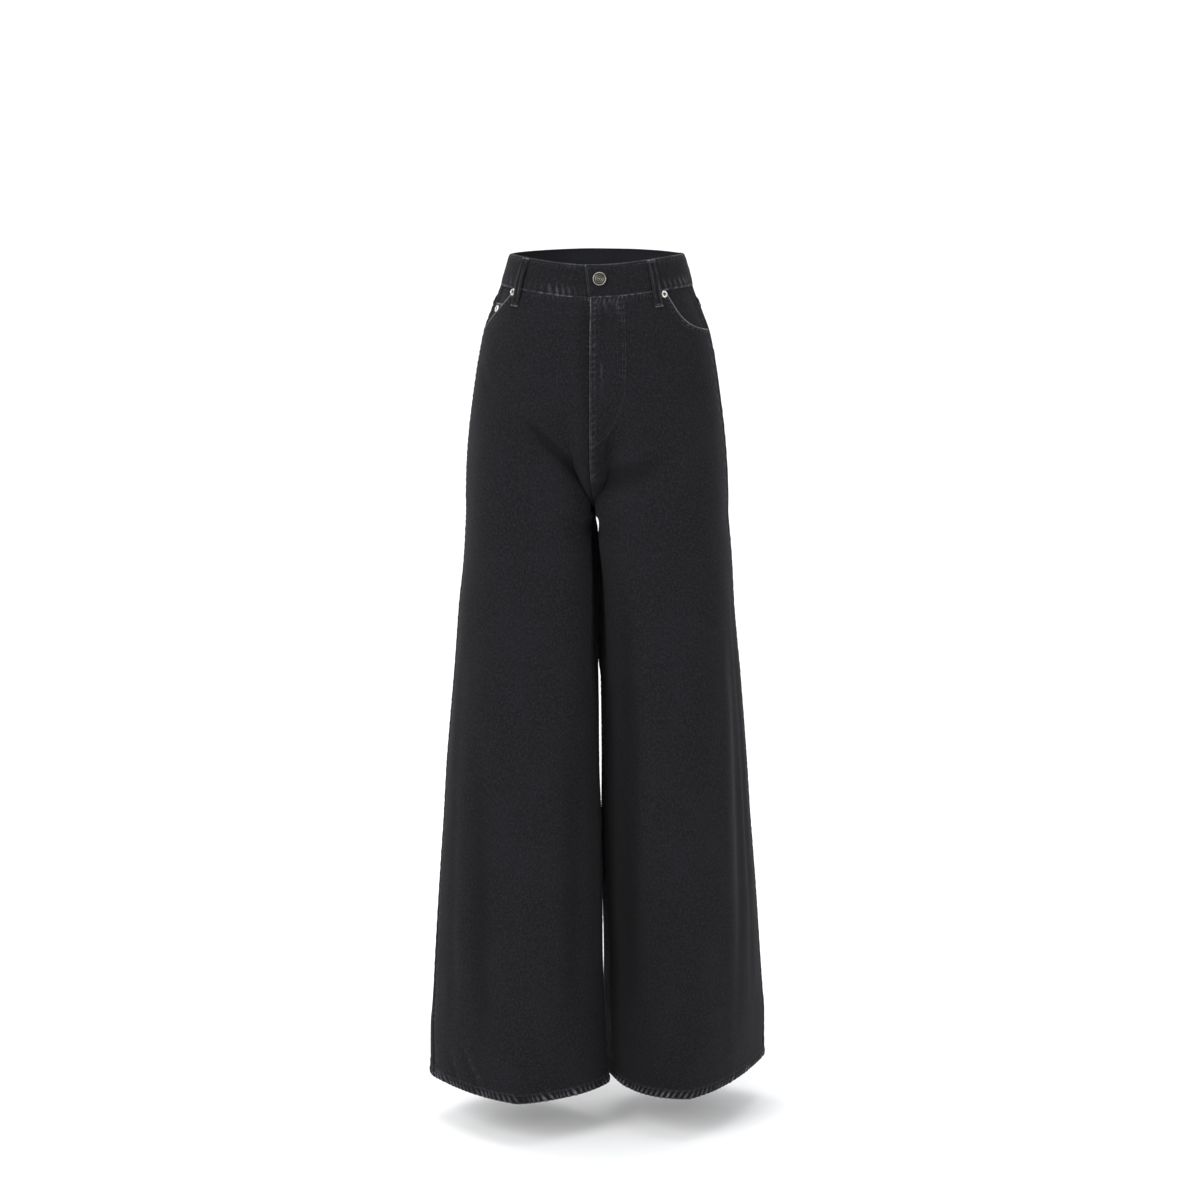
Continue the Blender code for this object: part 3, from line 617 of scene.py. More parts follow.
def panelRelief(side, across, level):
    # Height of the cloth's face over the plain form, how pale it is from wear and painted sheen, and how dark
    # it is painted as shade.
    across, level = np.broadcast_arrays(across, level)
    frontWide, backWide = girth(side, level, 0), girth(side, level, 1)
    front = across <= 1
    back = 1 - front
    centre = np.where(front, across * frontWide, (2 - across) * backWide)
    fromSide = np.where(front, (1 - across) * frontWide, (across - 1) * backWide)
    around = np.where(front, across * frontWide, frontWide + (across - 1) * backWide)
    seed = panelSeeds[side]
    height = -foldDepth(creases, side, across, level, frontWide, backWide)
    wear = foldDepth(scuffsAndHighlight, side, across, level, frontWide, backWide)

    # The stiff fly bridges the hollow beside it.
    bridge = bridges[side]["rise"] * between(level, *bridges[side]["levels"])
    height += bridge * front * bell(across - bridges["across"], bridges["wide"])

    # Slack in the cloth, none at the seams.
    slack = 0
    for k, (deep, wide, tall) in enumerate(slackWaves):
        slack = slack + deep * noise(around / wide, level / tall, seed + k)
    height += slack * smooth(centre / 0.03) * smooth(fromSide / 0.03) * smooth((bandSeam - level) / 0.04)

    # Side seam: a sunk line between puckered edges, its turnings behind it.
    low = level < np.where(front, openingLevel(side, np.minimum(across, 1)) - 0.001, bandSeam)
    raised, worn, _ = seamMarks("side", -level, fromSide * (front - back), seed)
    height += raised * low + 0.0005 * (1 - smooth((fromSide - 0.009) / 0.003)) * back
    wear += worn * low * (0.7 + 0.3 * noise(level / 0.07, centre, seed + 8))
    # Beside it, puckers with pale ticks of wear, and an even band of painted sheen on the front.
    raised, worn, _ = seamMarks("besideSide", -level, fromSide, seed)
    height += raised * low
    wear += worn * low * front

    # Centre seams above the crotch, inseam below it.
    raised, worn, _ = seamMarks("centre", -level, centre, seed)
    height += raised
    wear += worn

    # Fly: the left front's folded edge with its facing under it, over the right front.
    if side > 0:
        onFly = front * smooth((level - fly["end"]) / 0.012)
        raised, worn, _ = seamMarks("flyEdge", -level, centre, seed)
        height += onFly * (raised + fly["facingRise"] * (1 - smooth((centre - fly["facingWide"]) / 0.008)))
        uneven = 0.75 + 0.25 * noise(level / 0.011, centre / 0.01, 5)
        edgeWear = fly["topWear"] * smooth((level + 0.20) / 0.10) + fly["edgeWear"]
        wear += onFly * (worn + edgeWear * uneven * bell(centre, 0.0011))
        away, along = toPath(side, flySewing, across, level)
        raised, worn, _ = seamMarks("flySewing", along, away, seed)
        height += front * raised
        rub = fly["rubWear"] * bell((across - fly["rubAcross"]) * frontWide, 0.0022)
        wear += front * (worn + rub * between(level, *fly["rubLevels"]))

    # Pocket opening: the folded edge worn pale, sewn twice.
    away, along = toPath(side, openings[side], across, level)
    raised, worn, _ = seamMarks("opening", along, away, seed)
    uneven = 0.8 + 0.2 * noise(along / 0.006, away / 0.01, seed + 15)
    onFront = front * (level > -0.14)
    height += onFront * raised
    wear += onFront * (worn + 1.10 * uneven * bell(away, 0.0011))

    # Between the thighs the inner front corners draw back, and the cloth meets further in.
    drawn = smooth((across - 0.010) / 0.035) * (1 - smooth((across - 0.110) / 0.110)) * front
    height -= thighs["drawn"] * between(level, *thighs["drawnLevels"]) * drawn
    meeting = smooth((across - 1.900) / 0.040) * (1 - smooth((across - 1.985) / 0.015)) * back
    height += thighs["meeting"] * between(level, *thighs["meetingLevels"]) * meeting
    split = bell(level - thighs["splitLevel"], thighs["splitHigh"])
    height -= thighs["split"] * split * smooth((0.10 - np.minimum(across, 2 - across)) / 0.06)

    # Under the waistband.
    under = bandSeam - level
    raised, _, crest = seamMarks("underBand", around, under, seed)
    height += raised
    wear += 0.35 * crest ** 1.5 * bell(under - 0.002, 0.0070)

    # Yoke seam across the back.
    seam = level - yokeSeam(across)
    raised, _, crest = seamMarks("yoke", (across - 1) * backWide, seam, seed)
    step = smooth(seam / 0.0008) * (1 - smooth((seam - yoke["turning"]) / 0.004))
    height += back * (raised + yoke["rise"] * step)
    wear += back * yoke["wear"] * bell(seam - 0.0008, 0.0012) * (0.6 + 0.4 * crest)

    # Hem: turned up, sewn once, roped by its sewing.
    up = level - hem
    inTurning = 1 - smooth((up - hemTurning) / 0.0012)
    raised, worn, crest = seamMarks("hem", around, up, seed)
    roping = crest * np.sin(math.pi * np.clip(up / hemTurning, 0, 1)) ** rope["roundness"]
    height += raised + (rope["rise"] * roping + rope["turningRise"]) * inTurning
    rubbed = 0.75 + 0.25 * noise(around / 0.045, up / 0.05, seed + 27)
    wear += worn * rubbed + rope["turningWear"] * bell(up - hemTurning, 0.0012)

    # Painted shade: darker in the folds, partly also the cloth's own less-washed dark there, and painted
    # shadow beside the fly, on the inner legs and between the hem's ropes.
    shade = 0.5 * smooth(foldDepth(creases + folds, side, across, level, frontWide, backWide) / 0.004)
    if side < 0:
        shade += front * fly["shade"] * bell(centre - 0.002, 0.0100) * between(level, *fly["shadeLevels"])
    dark, reach, more = innerShade[side]
    reach = reach + more * smooth((-0.62 - level) / 0.30)
    shade += front * dark * smooth((-0.36 - level) / 0.16) * (1 - smooth((across - 0.03) / reach))
    shade += rope["gapShade"] * (1 - crest) * inTurning * bell(up - 0.004, 0.006)
    return height, np.clip(wear, 0, 1.3), np.clip(shade, 0, 1)


def gridCells(number, thin, stride):
    # Faces of a grid. In thin rows only every stride-th column is kept, and wider faces join the two kinds.
    cells = []
    for r in range(len(number) - 1):
        upper, lower = number[r], number[r + 1]
        if not thin[r] and not thin[r + 1]:
            cells += np.stack([upper[:-1], upper[1:], lower[1:], lower[:-1]], axis=1).tolist()
            continue
        for c in range(0, len(upper) - 1, stride):
            top = upper[[c, c + stride]] if thin[r] else upper[c : c + stride + 1]
            foot = lower[[c, c + stride]] if thin[r + 1] else lower[c : c + stride + 1]
            cells.append(top.tolist() + foot[::-1].tolist())
    return cells


def buildMesh(name, outer, inner, marks, finish, roll=0.35, thin=None, stride=1):
    # A closed shell from two grids of points, with a rounded rim between them.
    rows, columns = outer.shape[:2]
    thin = np.zeros(rows, bool) if thin is None else thin
    kept = np.ones((rows, columns), bool)
    kept[thin] = np.arange(columns) % stride == 0
    number = np.cumsum(kept).reshape(rows, columns) - 1
    count = int(kept.sum())
    index = np.arange(rows * columns).reshape(rows, columns)
    rim = np.concatenate([index[0, :], index[1:, -1], index[-1, -2::-1], index[-2:0:-1, 0]])
    inward = np.concatenate([index[1, :], index[1:, -2], index[-2, -2::-1], index[-2:0:-1, 1]])
    held = kept.reshape(-1)[rim]
    rim, inward = rim[held], inward[held]
    allOuter, allInner = outer.reshape(-1, 3), inner.reshape(-1, 3)
    wall = np.linalg.norm(allOuter[rim] - allInner[rim], axis=1)
    beyond = unit(allOuter[rim] - allOuter[inward]) * (wall * roll)[:, None]
    bead = (allOuter[rim] + allInner[rim]) / 2 + beyond
    flatOuter, flatInner = outer[kept], inner[kept]
    cells = gridCells(number, thin, stride)
    corners = np.array([(cell[0], cell[1], cell[-1]) for cell in cells])
    origin = flatOuter[corners[:, 0]]
    turn = np.cross(flatOuter[corners[:, 1]] - origin, flatOuter[corners[:, 2]] - origin)
    outward = np.einsum("ij,ij->i", turn, origin - flatInner[corners[:, 0]]).sum() > 0
    rimAt = number.reshape(-1)[rim]
    nextRim = np.roll(rimAt, -1)
    beads = 2 * count + np.arange(len(rimAt))
    nextBeads = np.roll(beads, -1)
    border = np.concatenate(
        [
            np.stack([rimAt, beads, nextBeads, nextRim], axis=1),
            np.stack([beads, rimAt + count, nextRim + count, nextBeads], axis=1),
        ]
    ).tolist()
    if not outward:
        cells = [cell[::-1] for cell in cells]
        border = [cell[::-1] for cell in border]
    lining = [[v + count for v in cell[::-1]] for cell in cells]
    data = bpy.data.meshes.new(name)
    data.from_pydata(np.concatenate([flatOuter, flatInner, bead]).tolist(), [], cells + lining + border)
    data.shade_smooth()

    # Texture coordinates in metres along the cloth, and the marks: wear with painted sheen, and painted
    # shade.
    steps = np.linalg.norm(np.diff(outer, axis=1), axis=2)
    u = np.concatenate([np.zeros((rows, 1)), np.cumsum(steps, axis=1)], axis=1)
    u = u - u[:, columns // 2 : columns // 2 + 1]
    flat = np.stack([u[kept], outer[..., 2][kept]], axis=1)
    coordinates = np.concatenate([flat, flat, flat[rimAt]])
    corner = np.empty(len(data.loops), np.int32)
    data.loops.foreach_get("vertex_index", corner)
    layer = data.uv_layers.new(name="cloth")
    layer.data.foreach_set("uv", coordinates[corner].astype(np.float32).reshape(-1))
    for mark, values in marks.items():
        flatMark = np.broadcast_to(values, (rows, columns))[kept]
        attribute = data.attributes.new(mark, "FLOAT", "POINT")
        full = np.concatenate([flatMark, flatMark * 0.25, flatMark[rimAt]])
        attribute.data.foreach_set("value", full.astype(np.float32))
    inside = data.attributes.new("inside", "FLOAT", "POINT")
    lined = np.concatenate([np.zeros(count), np.ones(count), np.zeros(len(rimAt))])
    inside.data.foreach_set("value", lined.astype(np.float32))
    data.materials.append(finish)
    return addPiece(name, data)


def linear(colour):
    channels = [int(colour[k : k + 2], 16) / 255 for k in (1, 3, 5)]
    return tuple(c / 12.92 if c <= 0.04045 else ((c + 0.055) / 1.055) ** 2.4 for c in channels) + (1.0,)


def newMaterial(name):
    made = bpy.data.materials.new(name)
    made.use_nodes = True
    nodes, links = made.node_tree.nodes, made.node_tree.links

    def add(kind, settings, inputs, output=0):
        # A node with its settings and inputs, or the material's own shader where no kind is given.
        node = nodes.new("ShaderNode" + kind) if kind else nodes["Principled BSDF"]
        for key, value in settings.items():
            setattr(node, key, value)
        for key, value in inputs.items():
            if isinstance(value, bpy.types.NodeSocket):
                links.new(value, node.inputs[key])
            else:
                node.inputs[key].default_value = value
        return node.outputs[output]

    return made, add


# The sockets of a colour mix: share, first and second colour, and the mixed colour.
mixShare, mixFirst, mixSecond, mixed = 0, 6, 7, 2

# Sizes across and down the cloth in millimetres, then the noise's detail and roughness. Slubs and specks
# are drawn two to three times as coarse as the real yarns, which would be too fine to show.
denimPatterns = {
    "slub": (1.2, 6.0, 2.0, 0.6),
    "streak": (4.0, 16.0, 2.0, 0.6),
    "mottle": (2.6, 3.4, 3.0, 0.7),
    "speckle": (1.0, 1.2, 1.0, 0.5),
    "patch": (60.0, 90.0, 2.0, 0.5),
}
# Tones laid over each other: the field, how it rises, from and to where, its share and its colour.
denimTones = (
    ("slub", "SMOOTHSTEP", 0.35, 0.70, 1.0, "#17171a"),
    ("streak", "SMOOTHSTEP", 0.45, 0.75, 0.25, "#1f1f23"),
    ("mottle", "SMOOTHSTEP", 0.46, 0.70, 0.68, "#242429"),
    ("patch", "SMOOTHSTEP", 0.40, 0.70, 0.25, "#1d1d21"),
    ("speckle", "SMOOTHSTEP", 0.60, 0.78, 0.35, "#3a3a40"),
    ("twill", "LINEAR", 0.0, 1.0, 0.18, "#0c0c0d"),
    # Painted shade, from the shade marks.
    ("shade", "LINEAR", 0.0, 1.0, 1.0, "#09090a"),
    # Pale wear on raised edges, with the painted sheen and highlight bands mixed in.
    ("rubbed", "SMOOTHSTEP", 0.02, 1.0, 1.0, "#7f7f85"),
    ("inside", "LINEAR", 0.0, 1.0, 0.7, "#2a2b2f"),
)
denimRelief = (("twill", 0.5), ("slub", 0.8), ("speckle", 0.5))
twillScale = 0.42


def denimMaterial():
    # Black warp washed to charcoal: slubs run down the cloth, the raised edges are abraded to the white weft.
    # The marks also bring painted shade, and painted sheen and highlight bands mixed with the wear.
    made, add = newMaterial("blackTwillDenimStoneWashed")
    grain = add("UVMap", {"uv_map": "cloth"}, {})
    fields = {}
    for name in ("wear", "shade", "inside"):
        fields[name] = add("Attribute", {"attribute_name": name}, {}, "Fac")
    for name, (wide, tall, detail, roughness) in denimPatterns.items():
        place = add("Mapping", {}, {"Vector": grain, "Scale": (1000 / wide, 1000 / tall, 1.0)})
        inputs = {"Vector": place, "Scale": 1.0, "Detail": detail, "Roughness": roughness}
        fields[name] = add("TexNoise", {"noise_dimensions": "2D"}, inputs, "Fac")
    slant = {"Vector": grain, "Rotation": (0, 0, math.radians(-27)), "Scale": (1000.0, 1000.0, 1.0)}
    lines = {"Vector": add("Mapping", {}, slant), "Scale": twillScale, "Distortion": 1.2, "Detail": 1.0}
    fields["twill"] = add("TexWave", {"wave_type": "BANDS", "bands_direction": "X"}, lines, "Fac")
    # The pale marks of wear and painted sheen, broken up by the speckle.
    limits = {"Value": fields["speckle"], "From Min": 0.15, "From Max": 0.60, "To Max": fields["wear"]}
    fields["rubbed"] = add("MapRange", {"interpolation_type": "SMOOTHSTEP"}, limits)

    tone = linear("#0d0d0f")
    for name, rise, low, high, share, colour in denimTones:
        limits = {"Value": fields[name], "From Min": low, "From Max": high, "To Max": share}
        amount = add("MapRange", {"interpolation_type": rise}, limits)
        colours = {mixShare: amount, mixFirst: tone, mixSecond: linear(colour)}
        tone = add("Mix", {"data_type": "RGBA"}, colours, mixed)
    relief = 0.0
    for name, share in denimRelief:
        relief = add("Math", {"operation": "MULTIPLY_ADD"}, {0: fields[name], 1: share, 2: relief})
    normal = add("Bump", {}, {"Strength": 0.5, "Distance": 0.00025, "Height": relief})
    gloss = {"Roughness": 0.92, "Specular IOR Level": 0.11, "Sheen Weight": 0.02, "Sheen Roughness": 0.5}
    add(None, {}, {"Base Color": tone, "Normal": normal, **gloss})
    return made


def threadMaterial():
    # Spun thread dyed with the cloth, rubbed grey where it stands proud.
    made, add = newMaterial("spunPolyesterThreadWashed")
    place = add("TexCoord", {}, {}, "Object")
    fade = add("TexNoise", {}, {"Vector": place, "Scale": 90.0, "Detail": 2.0}, "Fac")
    settings = {"interpolation_type": "SMOOTHSTEP"}
    rubbed = add("MapRange", settings, {"Value": fade, "From Min": 0.42, "From Max": 0.72})
    colours = {mixShare: rubbed, mixFirst: linear("#1b1b1f"), mixSecond: linear("#46464c")}
    tone = add("Mix", {"data_type": "RGBA"}, colours, mixed)
    add(None, {}, {"Base Color": tone, "Roughness": 0.7, "Specular IOR Level": 0.3})
    return made


def metalMaterial(name, pale, dark, roughness, scale):
    # Plated metal: bright where it rubs, dark in the recesses and in fine scratches.
    made, add = newMaterial(name)
    place = add("TexCoord", {}, {}, "Object")
    spots = add("TexNoise", {}, {"Vector": place, "Scale": scale, "Detail": 4.0, "Roughness": 0.65}, "Fac")
    recess = add("Attribute", {"attribute_name": "recess"}, {}, "Fac")
    settings = {"interpolation_type": "SMOOTHSTEP"}
    stained = add("MapRange", settings, {"Value": spots, "From Min": 0.50, "From Max": 0.72})
    dirt = add("Math", {"operation": "MAXIMUM"}, {0: stained, 1: recess})
    colours = {mixShare: dirt, mixFirst: linear(pale), mixSecond: linear(dark)}
    tone = add("Mix", {"data_type": "RGBA"}, colours, mixed)
    limits = {"From Min": 0.3, "From Max": 0.8, "To Min": roughness, "To Max": roughness + 0.22}
    rough = add("MapRange", {}, {"Value": spots, **limits})
    normal = add("Bump", {}, {"Strength": 0.25, "Distance": 0.0001, "Height": spots})
    add(None, {}, {"Base Color": tone, "Metallic": 1.0, "Roughness": rough, "Normal": normal})
    return made


denim = denimMaterial()
thread = threadMaterial()
antiqueNickel = metalMaterial("antiqueNickelPlateRubbed", "#918d87", "#161412", 0.30, 1500.0)
brightNickel = metalMaterial("brightNickelPlateWorn", "#d2cfc9", "#6a645d", 0.25, 900.0)
bareBrass = metalMaterial("brassBurrTarnished", "#6b5c4c", "#2c2621", 0.45, 900.0)
print("materials ready")


def addPiece(name, data):
    piece = bpy.data.objects.new(name, data)
    bpy.context.scene.collection.objects.link(piece)
    return piece


def finishPiece(piece, nodes, flat=None, area=None):
    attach(piece, "root")
    if nodes:
        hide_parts(*nodes)
    return piece


def sewnPiece(name, node, face, grid, marks, flat, area=None, wall=cloth, roll=0.35):
    # A piece of cloth from its face over a grid of places.
    piece = buildMesh(name, face(*grid), face(*grid, -wall), marks, denim, roll=roll)
    return finishPiece(piece, [node], flat, area)


def edgeShares(start, end, edgeZone, edgeStep, middleStep, length):
    # Shares from start to end, closer together near both edges. Sizes in metres for this length.
    fine = np.arange(0, edgeZone, edgeStep)
    middle = length - 2 * edgeZone
    rest = np.linspace(edgeZone, length - edgeZone, max(int(middle / middleStep), 2) + 1)
    metres = np.concatenate([fine, rest, length - fine[::-1]])
    return start + (end - start) * metres / length


columnParts = 3
panelSteps = {"top": 0.0016, "leg": 0.0024, "footRows": 13, "footHigh": 0.020}
evenBelow = -0.150
frontColumns = edgeShares(0, 1, 0.016, 0.0040, 0.0062, 0.33)
backColumns = edgeShares(1, 2, 0.016, 0.0040, 0.0066, 0.35)
scallop = {"depth": 0.0011, "middle": 0.0004, "high": 0.005}
panels = {
    "frontLeft": {"node": "front_left", "side": 1, "flat": (0.39, 1.06), "area": 0.345},
    "frontRight": {"node": "front_right", "side": -1, "flat": (0.39, 1.06), "area": 0.335},
    "backLeft": {"node": "back_left", "side": 1, "flat": (0.38, 1.03), "area": 0.33},
    "backRight": {"node": "back_right", "side": -1, "flat": (0.38, 1.03), "area": 0.33},
}


def panelLevels(front):
    # Even levels, and the rows that keep only every third column.
    footTop = hem + panelSteps["footHigh"]
    top = np.arange(bandSeam, evenBelow, -panelSteps["top"])
    leg = np.arange(evenBelow, footTop, -panelSteps["leg"])
    even = np.concatenate([top, leg, np.linspace(footTop, hem, panelSteps["footRows"])])
    thin = (even <= (evenBelow if front else 0)) & (even > footTop + 1e-6)
    return even, thin


def panelGrid(columns, topAt, even):
    # Levels run from the panel's own top edge and settle to even ones below it.
    wanted = np.arange((len(columns) - 1) * columnParts + 1) / columnParts
    fine = np.interp(wanted, np.arange(len(columns)), columns)
    across = np.broadcast_to(fine, (len(even), len(fine)))
    top = topAt(fine)[None, :]
    squeezed = top + (even[:, None] - bandSeam) * (evenBelow - top) / (evenBelow - bandSeam)
    return across, np.where(even[:, None] > evenBelow, squeezed, even[:, None])


def panelFace(side, across, level, out=0.0):
    height, _, _ = panelRelief(side, across, level)
    return onCloth(side, across, level, height + out)


def makePanel(name, panel):
    side = panel["side"]
    if name.startswith("front"):
        columns, topAt = frontColumns, lambda across: np.minimum(bandSeam, openingLevel(side, across))
    else:
        columns, topAt = backColumns, yokeSeam
    even, thin = panelLevels(columns is frontColumns)
    across, level = panelGrid(columns, topAt, even)
    height, wear, shade = panelRelief(side, across, level)
    wall = cloth + (hemLayers - cloth) * (1 - smooth((level - hem - hemTurning) / 0.0015))
    outer = onCloth(side, across, level, height)
    inner = onCloth(side, across, level, height - wall)
    frontWide, backWide = girth(side, level, 0), girth(side, level, 1)
    around = np.where(across <= 1, across * frontWide, frontWide + (across - 1) * backWide)
    _, _, crest = seamMarks("hem", around, level - hem, panelSeeds[side])
    drop = (scallop["depth"] * crest - scallop["middle"]) * (1 - smooth((level - hem) / scallop["high"]))
    outer[..., 2] -= drop
    inner[..., 2] -= drop
    marks = {"wear": wear, "shade": shade}
    piece = buildMesh(name, outer, inner, marks, denim, thin=thin, stride=columnParts)
    finishPiece(piece, [panel["node"]], panel["flat"], panel["area"])


for name, panel in panels.items():
    makePanel(name, panel)
print("panels ready")

for side, word in ((1, "Left"), (-1, "Right")):
    across, down = np.meshgrid(np.linspace(1, 2, 121), np.linspace(0, 1, 26))
    level = bandSeam + down * (yokeSeam(across) - 0.0004 - bandSeam)
    _, wear, shade = panelRelief(side, across, level)
    marks = {"wear": wear, "shade": shade}
    grid = (side, across, level)
    sewnPiece("yoke" + word, "yoke_" + word.lower(), panelFace, grid, marks, (0.20, 0.058), 0.0072)

# Pocket facings, under the front's cut edge and flush with the side seam above it.
hipFacing = {"from": 0.50, "foot": -0.118, "flat": (0.10, 0.080), "area": 0.0078}
underPanel = {1: -(cloth + gap), -1: -2 * (cloth + gap)}


def facingFace(side, across, level, out=0.0):
    wide = girth(side, level, 0)
    fromSide = (1 - across) * wide
    flush = 1 - smooth((fromSide - 0.004) / 0.010)
    rise = -underPanel[side] * flush * smooth((level - openingLevel(side, across) + 0.004) / 0.012)
    raised, _, _ = seamMarks("facing", -level, fromSide)
    slack = 0.0004 * noise(across * wide / 0.02, level / 0.03, 57)
    return onCloth(side, across, level, underPanel[side] + rise + raised + slack + out)


for side, word in ((1, "Left"), (-1, "Right")):
    across, down = np.meshgrid(np.linspace(hipFacing["from"], 1, 90), np.linspace(0, 1, 50))
    level = bandSeam + down * (hipFacing["foot"] - bandSeam)
    _, wear, _ = seamMarks("facing", -level, (1 - across) * girth(side, level, 0))
    under = bandSeam - level
    wear += 0.30 * puckers(across * 0.2, under, 0.0052, 0.2, 59) ** 1.5 * bell(under - 0.002, 0.006)
    # Painted shade along the pocket opening, under the front's edge.
    marks = {"wear": wear, "shade": 0.15 * bell(level - openingLevel(side, across), 0.004)}
    node = "pocket_facing_" + word.lower()
    grid = (side, across, level)
    sewnPiece("pocketFacing" + word, node, facingFace, grid, marks, hipFacing["flat"], hipFacing["area"])

# Coin pocket on the right facing.
coin = {"from": 0.60, "to": 0.985, "top": -0.0600, "foot": -0.102, "flat": (0.080, 0.042), "area": 0.0031}


def coinFace(across, level, out=0.0):
    lift = underPanel[-1] + cloth + gap
    return onCloth(-1, across, level, lift + 0.0003 * bell(level - coin["top"], 0.003) + out)


across, down = np.meshgrid(np.linspace(coin["from"], coin["to"], 60), np.linspace(0, 1, 36))
level = coin["top"] + down * (coin["foot"] - coin["top"])
wear = 0.8 * bell(level - coin["top"], 0.0012) + 0.25 * bell(level - coin["top"] + 0.004, 0.0015)
marks = {"wear": wear, "shade": 0 * wear}
sewnPiece("coinPocket", "coin_pocket", coinFace, (across, level), marks, coin["flat"], coin["area"])
print("pockets ready")

# Waistband: its top end lies over the under end at the centre front.
band = {
    "endTop": 0.050,
    "endFoot": 0.008,
    "endRun": 0.1,
    "under": 0.25,
    "runScale": 0.155,
    "flat": (0.67, 0.0385),
}


def bandPath(share, down):
    end = -(band["endTop"] + (band["endFoot"] - band["endTop"]) * down)
    return np.where(share < band["endRun"], end + (band["endRun"] - end) * (share / band["endRun"]), share)


# How strongly the waistband is puckered along its path.
bandPuckers = (
    (-0.05, 0.30), (0.15, 0.22), (0.45, 0.25), (0.56, 1.10), (0.80, 1.40), (1.10, 0.90), (2.00, 0.60),
    (2.90, 0.70), (3.20, 0.80), (3.50, 0.55), (3.62, 0.90), (3.82, 0.80), (3.93, 0.35), (4.25, 0.30),
)


def bandMarks(path, level):
    run = path * band["runScale"]
    fromFoot = level - bandSeam
    strong = np.interp(path, [row[0] for row in bandPuckers], [row[1] for row in bandPuckers])
    footHeight, footWear, _ = seamMarks("bandFoot", run, fromFoot, 0, strong)
    topHeight, topWear, _ = seamMarks("bandTop", run, -level, 0, np.sqrt(strong))
    height = footHeight + topHeight + 0.0007 * noise(run / 0.03, level / 0.02, 75)
    patchy = 0.72 + 0.28 * noise(run / 0.022, level / 0.03, 77)
    edge = 0.62 * bell(fromFoot - 0.0006, 0.0009) * (0.55 + 0.45 * noise(run / 0.004, level / 0.02, 78))
    return height, (footWear + topWear) * patchy + edge


def bandFace(path, level, out=0.0):
    height, _ = bandMarks(path, level)
    drop = (bandWall + gap) * smooth((path - 3.84) / 0.08)
    return aroundWaist(path, level, bandOuter + height - drop + out)


ends = np.linspace(0, band["endRun"], 26)[:-1]
shares = np.concatenate([ends, np.linspace(band["endRun"], 4 + band["under"], 370)])
down = np.concatenate([[0, 0.012, 0.03], np.linspace(0.06, 0.96, 30), [0.985, 1]])[:, None]
path = bandPath(shares[None, :], down)
level = down * bandSeam + 0 * path
_, wear = bandMarks(path, level)
endAway = (path - bandPath(0.0, down)) * band["runScale"]
broken = 0.7 + 0.3 * noise(level / 0.004, endAway, 79)
wear += (0.26 + 0.5 * bell(level, 0.003)) * bell(endAway, 0.0010) * broken
marks = {"wear": wear, "shade": 0 * wear}
sewnPiece("waistband", "waistband", bandFace, (path, level), marks, band["flat"], wall=bandWall, roll=0.45)
print("waistband ready")

# Belt loops, each folded in three with two raised ridges.
loops = (
    {"name": "FrontLeft", "node": "front_left", "path": 0.533, "foot": -0.0580, "seed": 81},
    {"name": "SideLeft", "node": "side_left", "path": 1.300, "foot": -0.0580, "seed": 83},
    {"name": "Back", "node": "back", "path": 2.000, "foot": -0.0580, "seed": 85},
    {"name": "SideRight", "node": "side_right", "path": 2.700, "foot": -0.0580, "seed": 87},
    {"name": "FrontRight", "node": "front_right", "path": 3.363, "foot": -0.0600, "seed": 89},
)
loopForm = {
    "width": 0.0100,
    "wall": 0.0018,
    "head": -0.0012,
    "ridge": 0.0007,
    "ridgeAt": 0.30,
    "flat": (0.0100, 0.060),
}
# How far a loop stands off the cloth, from its head to its foot.
loopRise = (
    (0.00, 0.0012), (0.10, 0.0013), (0.35, 0.0032), (0.55, 0.0033),
    (0.72, 0.0024), (0.88, 0.0006), (1.00, 0.0004),
)


def twoRidges(share, width):
    return bell(share - loopForm["ridgeAt"], width) + bell(share + loopForm["ridgeAt"], width)


def loopFace(loop, share, down, out=0.0):
    side = 1 if loop["path"] <= 2 else -1
    half = 1 if 1 < loop["path"] < 3 else 0
    level = loopForm["head"] + down * (loop["foot"] - loopForm["head"])
    path = loop["path"] + share * loopForm["width"] / girth(side, level, half)
    rise = np.interp(down, [row[0] for row in loopRise], [row[1] for row in loopRise]) + loopForm["wall"]
    ridge = loopForm["ridge"] * twoRidges(share, 0.11)
    crest = puckers(down * 0.055, share * 0.01, 0.0060, 0.2, loop["seed"])
    edge = 0.0006 * bell(np.abs(share) - 0.5, 0.06)
    return aroundWaist(path, level, rise + ridge + 0.0002 * crest - edge + out)


for loop in loops:
    share, down = np.meshgrid(np.linspace(-0.5, 0.5, 21), np.linspace(0, 1, 60))
    ridge = twoRidges(share, 0.10)
    streak = 0.5 + 0.5 * noise(down / 0.13, share / 0.2, loop["seed"])
    wear = 0.38 * ridge * (0.25 + 0.75 * streak) + 0.45 * bell(down - 1, 0.02) + 0.45 * bell(down, 0.02)
    wear += 0.15 * bell(np.abs(share) - 0.5, 0.05)
    # Painted shade down the loop's middle, between its ridges.
    marks = {"wear": wear, "shade": 0.5 * bell(share, 0.08)}
    grid = (loop, share, down)
    name, node = "beltLoop" + loop["name"], "belt_loop_" + loop["node"]
    sewnPiece(name, node, loopFace, grid, marks, loopForm["flat"], wall=loopForm["wall"])
print("belt loops ready")

# Back patch pockets.
backPocket = {
    "seat": 0.0006,
    "middle": 1.47,
    "top": -0.1220,
    "high": 0.1280,
    "wide": 0.1240,
    "point": 0.0180,
    "taper": 0.10,
    "turning": 0.013,
    "seeds": {1: 11, -1: 15},
    "flat": (0.124, 0.146),
    "area": 0.0160,
}
patchLevels = np.linspace(-0.110, -0.280, 35)
patchAways = np.linspace(-0.075, 0.075, 61)


